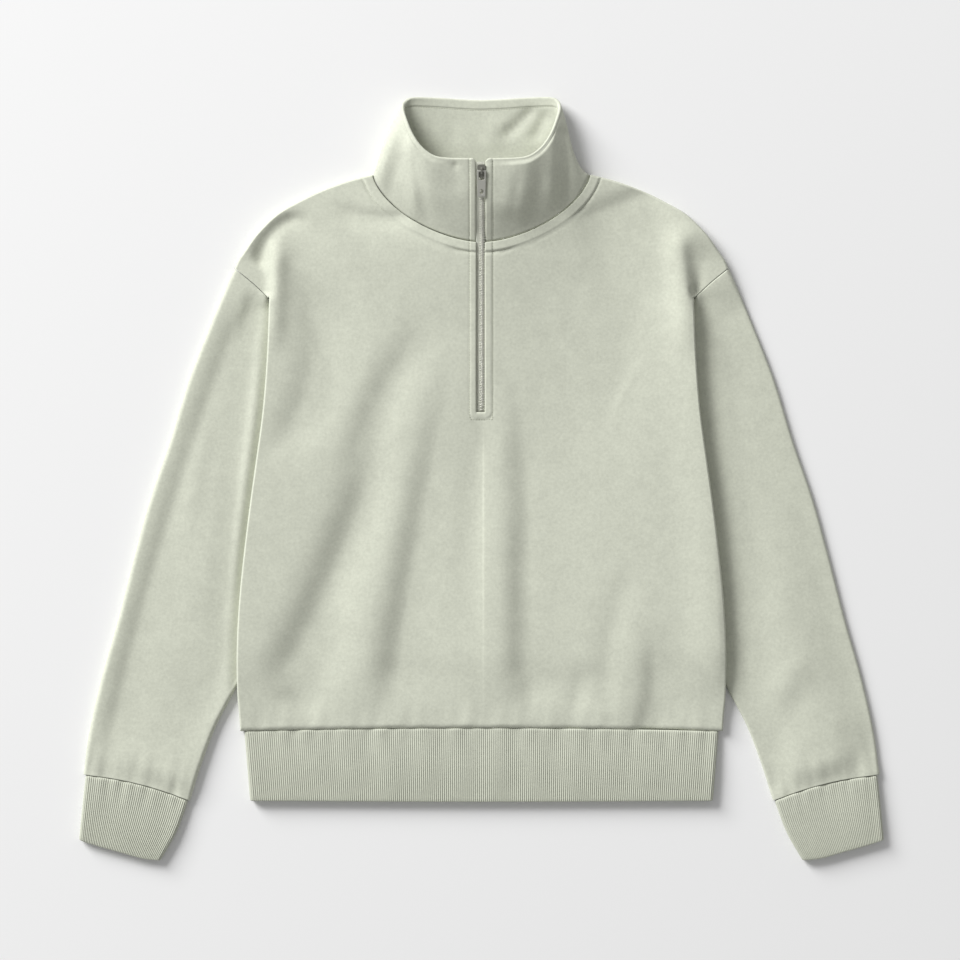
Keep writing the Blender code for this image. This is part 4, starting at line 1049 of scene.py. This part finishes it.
def rounded_ends(section, reach):
    """Adds rows that close both ends of a ring section in a half circle, ready to weld."""
    middle = (section + section[:, ::-1]) / 2.0
    caps = []
    for end, inner in ((0, 1), (-1, -2)):
        out = section[end] - section[inner]
        out = unit(out + out[::-1])
        caps.append([middle[end] + (section[end] - middle[end]) * math.cos(turn)
                     + out * reach * math.sin(turn) for turn in np.radians((30.0, 60.0, 90.0))])
    return np.concatenate([caps[0][::-1], section, caps[1]])


# %% Collar surface
collar_steps = 2.0 * (len(COLLAR_ROWS) - 1)
end_inset = COLLAR_CLOTH / 2.0 / ROW_STEP
shares = spaced((0.9, 0.04), (collar_steps - 1.8, 0.11), (0.9, 0.04))
shares = (end_inset + (collar_steps - 2.0 * end_inset) * shares) / collar_steps
rows = collar_rows(shares)
from_end = np.minimum(shares, 1.0 - shares)[:, None] * collar_steps
corner_drop = CORNER_ROUNDING * (1.0 - ramp(from_end * ROW_STEP / 6.0)) ** 2
rows[:, 3:] += (rows[:, :3] - rows[:, 3:]) * corner_drop
rise = spaced((70.0, 2.4), (14.0, 0.6))[None, :, None]
ruled = rows[:, None, :3] * (1.0 - rise) + rows[:, None, 3:] * rise
standing = ramp(ruled[..., 2:] / 14.0)
face = ruled + grid_normals(ruled) * COLLAR_BULGE * np.sin(math.pi * rise) * standing
side_share = ramp((from_end - 5.0) / 1.5)
rounding = np.sin(math.pi * rise[..., 0] ** 0.6)
face[..., 2] += SIDE_ROUNDING * side_share * ramp((9.0 - from_end) / 1.5) * rounding
on_right = (shares[:, None] < 0.5) * side_share * ramp((10.4 - from_end) / 1.2)
face[..., 0] -= RIGHT_SIDE_INWARD * on_right * rounding
outward = grid_normals(face)
lining = face - COLLAR_CLOTH * outward

# %% [markdown]
# Seams lie at a set distance from the rim, from the base or from the zip, as on the front. They
# push along the face's own normals, because the collar stands. Its folds only lift, so that the
# outline seen from above stays where it is.

# %% Seams, folds and rim of the collar
band_height = np.linalg.norm(rows[:, 3:] - rows[:, :3], axis=1)[:, None]
from_rim, from_base = band_height * (1.0 - rise[..., 0]), band_height * rise[..., 0]
from_zip = np.where(from_end < 3.0, np.abs(face[..., 0]) - SLOT_HALF_WIDTH, 99.0)
at_back = ramp((from_end - 6.0) / 1.5)
relief = (welt(from_zip, ZIP_WELT, 0.45) + groove(from_zip, ZIP_WELT, 0.8, 0.55)
          + groove(from_rim, RIM_SEAM, 0.6, 0.5) * ramp((from_end - 2.5) / 3.0)
          + 0.6 * (1.0 - ramp(from_base / 4.0)) - rolled(from_base, 0.8, 50.0))
folds = fold_field(face[..., 0], face[..., 1], COLLAR_FOLDS) * standing[..., 0]
folds = folds * (0.3 + 0.7 * (1.0 - ramp((6.0 - from_rim) / 6.0)))
face = face + outward * relief[..., None] * standing
for layer in (face, lining):
    layer[..., 2] += folds
lining[..., 2] += fold_field(lining[..., 0], lining[..., 1], LINING_FOLDS) * at_back
hem_relief = welt(from_rim, LINING_SEAM, 0.3) + groove(from_rim, LINING_SEAM, 0.7, 0.5)
lining -= outward * (hem_relief * at_back)[..., None]

upward = unit(rows[:, None, 3:] - rows[:, None, :3])
rim_turn = np.linspace(0.0, math.pi, 9)[None, 1:-1, None]
middle_line = (face[:, -1:] + lining[:, -1:]) / 2.0
half_wall = np.linalg.norm(face[:, -1:] - lining[:, -1:], axis=2)[..., None] / 2.0
rim = (middle_line + (face[:, -1:] - middle_line) * np.cos(rim_turn)
       + upward * half_wall * np.sin(rim_turn))
face[..., 2] = np.maximum(face[..., 2], 0.0)
section = np.concatenate([face, rim, lining[:, ::-1]], axis=1)
section = rounded_ends(section, COLLAR_CLOTH / 2.0)
section[..., 0] = shown_x(section[..., 0])
around, along_base = walked_along(section, axis=1), walked_along(section[:, 0])
uv = np.dstack([np.broadcast_to(along_base[:, None], around.shape), around])
collar = weld(grid_piece("stand_collar", section, uv, close_columns=True, flip=True))
dress(collar, fleece, replaced=["collar"])

# %% [markdown]
# ## Zip
#
# The zip follows one line: up the middle of the front and up the standing collar. `zip_point`
# turns a place along that line, a place across it and a lift off it into a point, so tapes and
# teeth bend with the cloth. The tapes are woven, wider than the slot, and pass under the cloth.

# %% The zip's line
CHAIN_X = 0.9
TOOTH_PITCH = 2.49
# the drawing's y where the body's part of the line ends, at the neck, hinge and tape's top
BODY_PART_TOP_Y = 225.0
NECK_Y = 232.0
HINGE_Y = 308.3
TAPE_TOP_Y = 316.7
ZIP_BELOW_FRONT = 0.8
body_y = np.linspace(SLOT_END_Y, BODY_PART_TOP_Y, 9)
body_part = np.column_stack([body_y, front_height(np.zeros(9), body_y) - ZIP_BELOW_FRONT])
zip_row = collar_rows([0.0])[0]
up_share = np.array([0.12, 0.35, 0.65, 0.9, 1.0])[:, None]
stand_part = zip_row[None, 1:3] * (1.0 - up_share) + zip_row[None, 4:6] * up_share
stand_part = stand_part + COLLAR_BULGE * np.sin(math.pi * up_share) * np.array([[-0.24, 0.97]])
zip_line = smooth_path(np.concatenate([body_part, stand_part]))
zip_stops = np.linspace(0.0, zip_line.length, 700)
zip_yz = zip_line(zip_stops / zip_line.length)
zip_ahead = np.gradient(zip_yz, zip_stops, axis=0)
kernel = np.ones(25) / 25.0
zip_ahead = unit(np.stack([np.convolve(np.pad(column, 12, mode="edge"), kernel, mode="valid")
                           for column in zip_ahead.T], axis=-1))
neck_place, hinge_place, tape_end = np.interp((NECK_Y, HINGE_Y, TAPE_TOP_Y), zip_yz[:, 0], zip_stops)
print("zip line", round(zip_line.length, 1), "mm")


def zip_point(along, across, lift):
    """Points of the zip: along its line, across it (x) and lifted off it, in millimetres."""
    y, z, ahead_y, ahead_z = [np.interp(along, zip_stops, column)
                              for column in (*zip_yz.T, *zip_ahead.T)]
    return np.stack(np.broadcast_arrays(across, y - ahead_z * lift, z + ahead_y * lift), axis=-1)


# %% [markdown]
# Metal parts share one kind of finish, a warm grey alloy with a dull polish, in three shades. The
# slider's dark shade is painted shade, for its plate that lies in shade under the pull. The
# weave of the tapes is bump: threads one way, then the other, from the UV map.

# %% Metal and tape materials
weave, weave_in, weave_out = new_group(
    "weave", [("Place", "NodeSocketVector", None), ("Pitch", "NodeSocketFloat", 0.9 * MM)],
    [("Height", "NodeSocketFloat")])
threads = [math_node(weave, "SINE", math_node(weave, "MULTIPLY", math_node(
    weave, "DIVIDE", axis, weave_in.outputs["Pitch"]), 2.0 * math.pi))
    for axis in separate(weave, weave_in.outputs["Place"])[:2]]
weave.links.new(math_node(weave, "MULTIPLY_ADD", math_node(
    weave, "MULTIPLY", threads[0], threads[1]), 0.5, 0.5), weave_out.inputs["Height"])


def tape_material(name, colour):
    """Matt woven tape: weave bump on a plain colour."""
    made = plain_material(name, colour, 0.85)
    tree = made.node_tree
    tree.nodes["Principled BSDF"].inputs["Specular IOR Level"].default_value = 0.2
    coordinates = tree.nodes.new("ShaderNodeTexCoord")
    woven = group_node(tree, weave, coordinates.outputs["UV"])
    add_bump(tree, woven.outputs["Height"], 0.25)
    return made


def metal_material(name, colour, roughness, metallic):
    """Dull alloy: brushed roughness from fine noise."""
    made = plain_material(name, colour, roughness)
    tree = made.node_tree
    shader = tree.nodes["Principled BSDF"]
    shader.inputs["Metallic"].default_value = metallic
    coordinates = tree.nodes.new("ShaderNodeTexCoord")
    worn = noise_node(tree, coordinates.outputs["Object"], 900.0, 3.0, 0.6, (1.0, 0.2, 1.0))
    spread = math_node(tree, "MULTIPLY_ADD", worn, 0.24, roughness - 0.12)
    tree.links.new(spread, shader.inputs["Roughness"])
    return made


tape_cloth = tape_material("zip_tape", srgb(206, 208, 194))
tooth_metal = metal_material("tooth_metal", (0.80, 0.80, 0.73, 1.0), 0.34, 0.60)
# painted shade: the slider is coloured darker than the pull, for its plate in shade under the pull
shaded_slider_metal = metal_material("shaded_slider_metal", (0.22, 0.22, 0.19, 1.0), 0.40, 0.35)
pull_metal = metal_material("pull_metal", (0.50, 0.50, 0.45, 1.0), 0.36, 0.35)
print("zip finishes:", [made.name for made in (tape_cloth, tooth_metal, shaded_slider_metal, pull_metal)])

# %% [markdown]
# A tape could be a ribbon with a wall. A thin flat tube has round edges from the start, and its
# width can change along it: the tape is narrower above the neck, where the collar's layers hold
# it.

# %% Zip tapes
TAPE_EDGE = 12.2
TAPE_NARROWING = 6.8
TAPE_THICKNESS = 0.7
TAPE_TOP = -0.7


def tape_piece(name, side, node):
    """Woven tape: a thin flat tube along the zip, closed at both ends."""
    along = np.linspace(0.3, tape_end, 90)[:, None]
    middle_edge = CHAIN_X + 0.05 * side
    outer_edge = TAPE_EDGE - TAPE_NARROWING * ramp((along - neck_place + 8.0) / 8.0)
    outer_edge = outer_edge - EDGE_SHIFT * (side > 0)
    turn = np.radians([-90.0, -45.0, 0.0, 45.0, 90.0])
    half = TAPE_THICKNESS / 2.0
    far = side * outer_edge + side * half * (np.cos(turn)[None] - 1.0)
    near = np.broadcast_to(middle_edge - side * half * (np.cos(turn[::-1])[None] - 1.0),
                           (len(along), 5))
    share = np.linspace(0.0, 1.0, 10)[None, 1:-1]
    top = far[:, -1:] + (near[:, :1] - far[:, -1:]) * share
    bottom = near[:, -1:] + (far[:, :1] - near[:, -1:]) * share
    across = np.concatenate([far, top, near, bottom], axis=1)
    lift = np.concatenate([half * np.sin(turn), np.full(8, half), half * np.sin(turn[::-1]),
                           np.full(8, -half)])[None] + TAPE_TOP - half
    points = zip_point(np.broadcast_to(along, across.shape), across, np.broadcast_to(lift, across.shape))
    points = np.pad(points, ((1, 1), (0, 0), (0, 0)), mode="edge")
    for row in (points[:1], points[-1:]):
        row[..., 1:] = row[..., 1:].mean(axis=1, keepdims=True)
    flat_across, flat_along = [np.pad(grid, ((1, 1), (0, 0)), mode="edge") for grid in (across, along)]
    uv = np.dstack(np.broadcast_arrays(flat_across, flat_along))
    made = weld(grid_piece(name, points, uv, close_columns=True, flip=side > 0))
    return dress(made, tape_cloth, replaced=[node])


left_tape, right_tape = [tape_piece(*row) for row in (("left_tape", -1.0, "zip_tape_left"),
                                                      ("right_tape", 1.0, "zip_tape_right"))]

# %% [markdown]
# Each tooth is one small closed form: a ring section that swells from the tape's edge, stays even
# and closes at the head. The same form is set along both tapes, half a pitch apart. Two hundred
# objects would be slow to handle, so all teeth are one mesh, worked out in one array.

# %% Teeth
def form_rows(stations, sizes, section):
    """Small closed form: rings (a, b) of one section, scaled, at stations along its length."""
    return np.stack([np.column_stack([np.full(len(section), station), section * size])
                     for station, size in zip(stations, sizes)])


def many_forms(name, forms):
    """One mesh of many equal small forms: array (forms, rings, ring points, 3)."""
    count, rings, columns = forms.shape[:3]
    keep = np.ones((count * rings - 1, columns), bool)
    keep[rings - 1::rings] = False
    flat = forms.reshape(-1, columns, 3)
    return weld(grid_piece(name, flat, flat[..., :2], close_columns=True, keep=keep))


ring_turn = np.radians(np.arange(8) * 45.0 + 22.5)
ring = np.column_stack([0.48 * np.cos(ring_turn), 0.90 * np.sin(ring_turn)])
tooth = form_rows((-2.3, -2.25, -1.9, 1.0, 1.75, 1.8), (0.0, 0.75, 1.0, 1.0, 0.8, 0.0), ring)
first_tooth, last_tooth = 4.8, hinge_place - 5.0
places = np.arange(first_tooth, last_tooth, TOOTH_PITCH / 2.0)
tape_side = np.where(np.arange(len(places)) % 2 == 0, -1.0, 1.0)[:, None, None]
tooth_along = places[:, None, None] + tooth[None, ..., 1]
tooth_across = CHAIN_X + tape_side * (0.55 - tooth[None, ..., 0])
tooth_lift = np.broadcast_to(tooth[None, ..., 2] - 0.55, tooth_along.shape)
forms = zip_point(tooth_along, tooth_across, tooth_lift)
forms[1::2] = forms[1::2, :, ::-1]
teeth = many_forms("zip_teeth", forms)
dress(teeth, tooth_metal, replaced=["zip_chain"])
stop = form_rows((-1.6, -1.5, -1.1, 1.1, 1.5, 1.6), (0.0, 0.7, 1.0, 1.0, 0.7, 0.0),
                 ring * [2.0, 1.1])
stop_forms = zip_point(2.2 + stop[None, ..., 1], CHAIN_X - 0.6 + stop[None, ..., 0],
                       stop[None, ..., 2] - 0.5)
bottom_stop = many_forms("bottom_stop", stop_forms)
dress(bottom_stop, pull_metal, replaced=["zip_bottom_stop"])

# %% [markdown]
# The slider and its pull are cast metal. They have flat faces and holes, which a grid handles
# badly, so both are flat outlines raised to plates, with a Bevel modifier for the cast edges.
# Their own frame has its zero on the pull's hinge, with Y up the zip. The pull rides on its own
# body, because it is the one hard piece that turns without moving the cloth.

# %% Slider and pull tab
SLIDER_X = 0.0
BRIDGE_HOLE = 2.4
SLIDER_PLATE = 1.1
PULL_LOW = -25.8
PULL_HALF_WIDTH = 4.5
PULL_TILT = math.radians(3.0)
hinge_ahead = [np.interp(hinge_place, zip_stops, column) for column in zip_ahead.T]
slider_tilt = math.atan2(hinge_ahead[1], hinge_ahead[0])
hinge = zip_point(hinge_place, SLIDER_X, BRIDGE_HOLE / 2.0 + SLIDER_PLATE + 0.35)
print("hinge", (place(hinge) * 1000.0).round(2), "mm")


def round_box(low_x, high_x, low_y, high_y, corner, steps=4):
    """Outline of a box with round corners."""
    quarter = np.linspace(0.0, 0.5 * math.pi, steps + 1)
    outline = []
    for number, (x, y) in enumerate(((high_x - corner, high_y - corner), (low_x + corner, high_y - corner),
                                     (low_x + corner, low_y + corner), (high_x - corner, low_y + corner))):
        angle = quarter + number * 0.5 * math.pi
        outline += list(zip(x + corner * np.cos(angle), y + corner * np.sin(angle)))
    return outline


def raise_plate(shape, loops, low, high, upright=False):
    """Adds a plate to a bmesh: the first loop is its rim, the others are holes."""
    def corner(a, b, level):
        return (level, a, b) if upright else (a, b, level)

    levels = [[[shape.verts.new(corner(a, b, level)) for a, b in loop] for loop in loops]
              for level in (low, high)]
    for level in levels:
        edges = [shape.edges.new(pair) for loop in level for pair in zip(loop, loop[1:] + loop[:1])]
        bmesh.ops.triangle_fill(shape, edges=edges, use_beauty=True, use_dissolve=True)
    for lower, upper in zip(*levels):
        for a, b, c, d in zip(lower, lower[1:] + lower[:1], upper[1:] + upper[:1], upper):
            shape.faces.new((a, b, c, d))


def metal_piece(name, shape, tilt, soft):
    """Turns a bmesh about the hinge into its place on the zip and softens its edges."""
    bmesh.ops.recalc_face_normals(shape, faces=shape.faces)
    for corner in shape.verts:
        x, y, z = corner.co
        turned = (x + hinge[0], hinge[1] + y * math.cos(tilt) - z * math.sin(tilt),
                  hinge[2] + y * math.sin(tilt) + z * math.cos(tilt))
        corner.co = place(turned)
    mesh = bpy.data.meshes.new(name)
    shape.to_mesh(mesh)
    shape.free()
    mesh.shade_smooth()
    made = put_in_scene(name, mesh)
    step = made.modifiers.new("soft edges", "BEVEL")
    step.width = soft * MM
    step.segments = 2
    step.limit_method = "ANGLE"
    step.angle_limit = math.radians(40.0)
    step.harden_normals = True
    return made


plate_top = -BRIDGE_HOLE / 2.0
slider_shape = bmesh.new()
slider_outline = [(4.2, 5.0), (2.6, 6.2), (-2.6, 6.2), (-4.2, 5.0), (-3.8, -6.5), (3.8, -6.5)]
raise_plate(slider_shape, [slider_outline], plate_top - SLIDER_PLATE, plate_top)
raise_plate(slider_shape, [slider_outline], plate_top - 5.2, plate_top - 4.4)
raise_plate(slider_shape, [round_box(-1.1, 1.1, 1.5, 5.4, 0.5)], plate_top - 4.3,
            plate_top - SLIDER_PLATE - 0.1)
bridge = [(-3.6, plate_top), (-3.6, 0.9), (-2.8, 2.1), (2.8, 2.1), (3.6, 0.9), (3.6, plate_top),
          (2.4, plate_top), (2.4, 0.8), (1.9, 1.2), (-1.9, 1.2), (-2.4, 0.8), (-2.4, plate_top)]
raise_plate(slider_shape, [bridge[::-1]], -0.9, 0.9, upright=True)
slider = metal_piece("slider", slider_shape, slider_tilt, 0.25)
dress(slider, shaded_slider_metal, replaced=["zip_slider"])

pull_shape = bmesh.new()
tip = [(x * (0.88 if y < PULL_LOW + 3.0 else 1.0), y)
       for x, y in round_box(-PULL_HALF_WIDTH, PULL_HALF_WIDTH, PULL_LOW, 0.75, 0.7)]
turns = np.linspace(0.0, 2.0 * math.pi, 21)[:-1]
eyelet = list(zip(2.0 * np.cos(turns), PULL_LOW + 5.0 + 2.4 * np.sin(turns)))
raise_plate(pull_shape, [tip, round_box(-2.7, 2.7, -9.0, -0.75, 1.2), eyelet], -0.75, 0.75)
pull_tab = metal_piece("pull_tab", pull_shape, slider_tilt + PULL_TILT, 0.3)
dress(pull_tab, pull_metal, body="pull_tab", replaced=["zip_pull"])

# %% [markdown]
# ## Stitches
#
# The grooves beside the zip, under the neck seam and inside the collar are sewn. Each stitch is a
# short length of thread that lies in its groove: one low form, set along the line every 2.6 mm
# and turned to it. An image of stitches would lie flat, and these catch the light.

# %% Sewn lines
STITCH_PITCH = 2.6
THREAD_LIFT = 0.12


def evenly(line, pitch):
    """Points every pitch along a polyline, with the directions there."""
    walked = walked_along(line)
    here = np.arange(pitch / 2.0, walked[-1], pitch)
    points = np.stack([np.interp(here, walked, column) for column in line.T], axis=-1)
    ahead = np.stack([np.interp(here + 1.0, walked, column) - np.interp(here - 1.0, walked, column)
                      for column in line.T], axis=-1)
    return points, unit(ahead)


def sewn_line(name, lines):
    """Stitches along several lines, as one mesh."""
    turn = np.radians(np.arange(6) * 60.0)
    section = np.column_stack([0.34 * np.cos(turn), 0.22 * np.sin(turn)])
    stitch_form = form_rows((-1.05, -0.75, 0.0, 0.75, 1.05), (0.0, 0.8, 1.0, 0.8, 0.0), section)
    places, ahead = map(np.concatenate, zip(*[evenly(line, STITCH_PITCH) for line in lines]))
    aside = unit(np.cross([0.0, 0.0, 1.0], ahead))
    up = np.cross(ahead, aside)
    forms = (places[:, None, None] + up[:, None, None] * THREAD_LIFT
             + stitch_form[None, ..., :1] * ahead[:, None, None]
             + stitch_form[None, ..., 1:2] * aside[:, None, None]
             + stitch_form[None, ..., 2:] * up[:, None, None])
    made = many_forms(name, forms)
    print(name, len(places), "stitches")
    return dress(made, thread)


def on_front(plan):
    """Line on the front's surface above plan points."""
    return np.column_stack([shown_x(plan[:, 0]), plan[:, 1], front_relief(plan[None])[0]])


thread = cloth_material("thread", srgb(178, 181, 164), 0.2, 0.1)
neck_at = neck_line(np.linspace(0.02, 0.985, 160))
neck_ahead = unit(np.gradient(neck_at, axis=0))
below_neck = neck_at + (NECK_WELT + 0.4) * np.column_stack([neck_ahead[:, 1], -neck_ahead[:, 0]])
below_neck = below_neck[below_neck[:, 0] > SLOT_HALF_WIDTH + ZIP_WELT]
welt_x = SLOT_HALF_WIDTH + ZIP_WELT
low_y = SLOT_END_Y - SLOT_WELT_BELOW
beside_slot = np.column_stack([np.full(120, welt_x), np.linspace(low_y + 1.0, neck_at[6, 1] - 2.0, 120)])
under_slot = np.column_stack([np.linspace(-welt_x, welt_x, 30), np.full(30, low_y)])
front_lines = [on_front(line * [hand, 1.0]) for line in (below_neck, beside_slot)
               for hand in (-1.0, 1.0)]
front_stitches = sewn_line("front_stitches", front_lines + [on_front(under_slot)])

# %% Sewn lines of the collar
level = np.interp(ZIP_WELT, from_zip[:len(shares) // 2].mean(axis=1), np.arange(len(shares) // 2))
row_low, row_part = int(level), level - int(level)
columns = [(ends * (1.0 - row_part) + after * row_part)[2:] for ends, after in
           ((face[row_low], face[row_low + 1]), (face[-1 - row_low], face[-2 - row_low]))]
for column in columns:
    column[:, 0] = shown_x(column[:, 0])
hem_level = np.abs(from_rim.mean(axis=0) - LINING_SEAM).argmin()
back_line = lining[at_back[:, 0] > 0.6, hem_level]
collar_stitches = sewn_line("collar_stitches", columns)
lining_stitches = sewn_line("lining_stitches", [back_line])
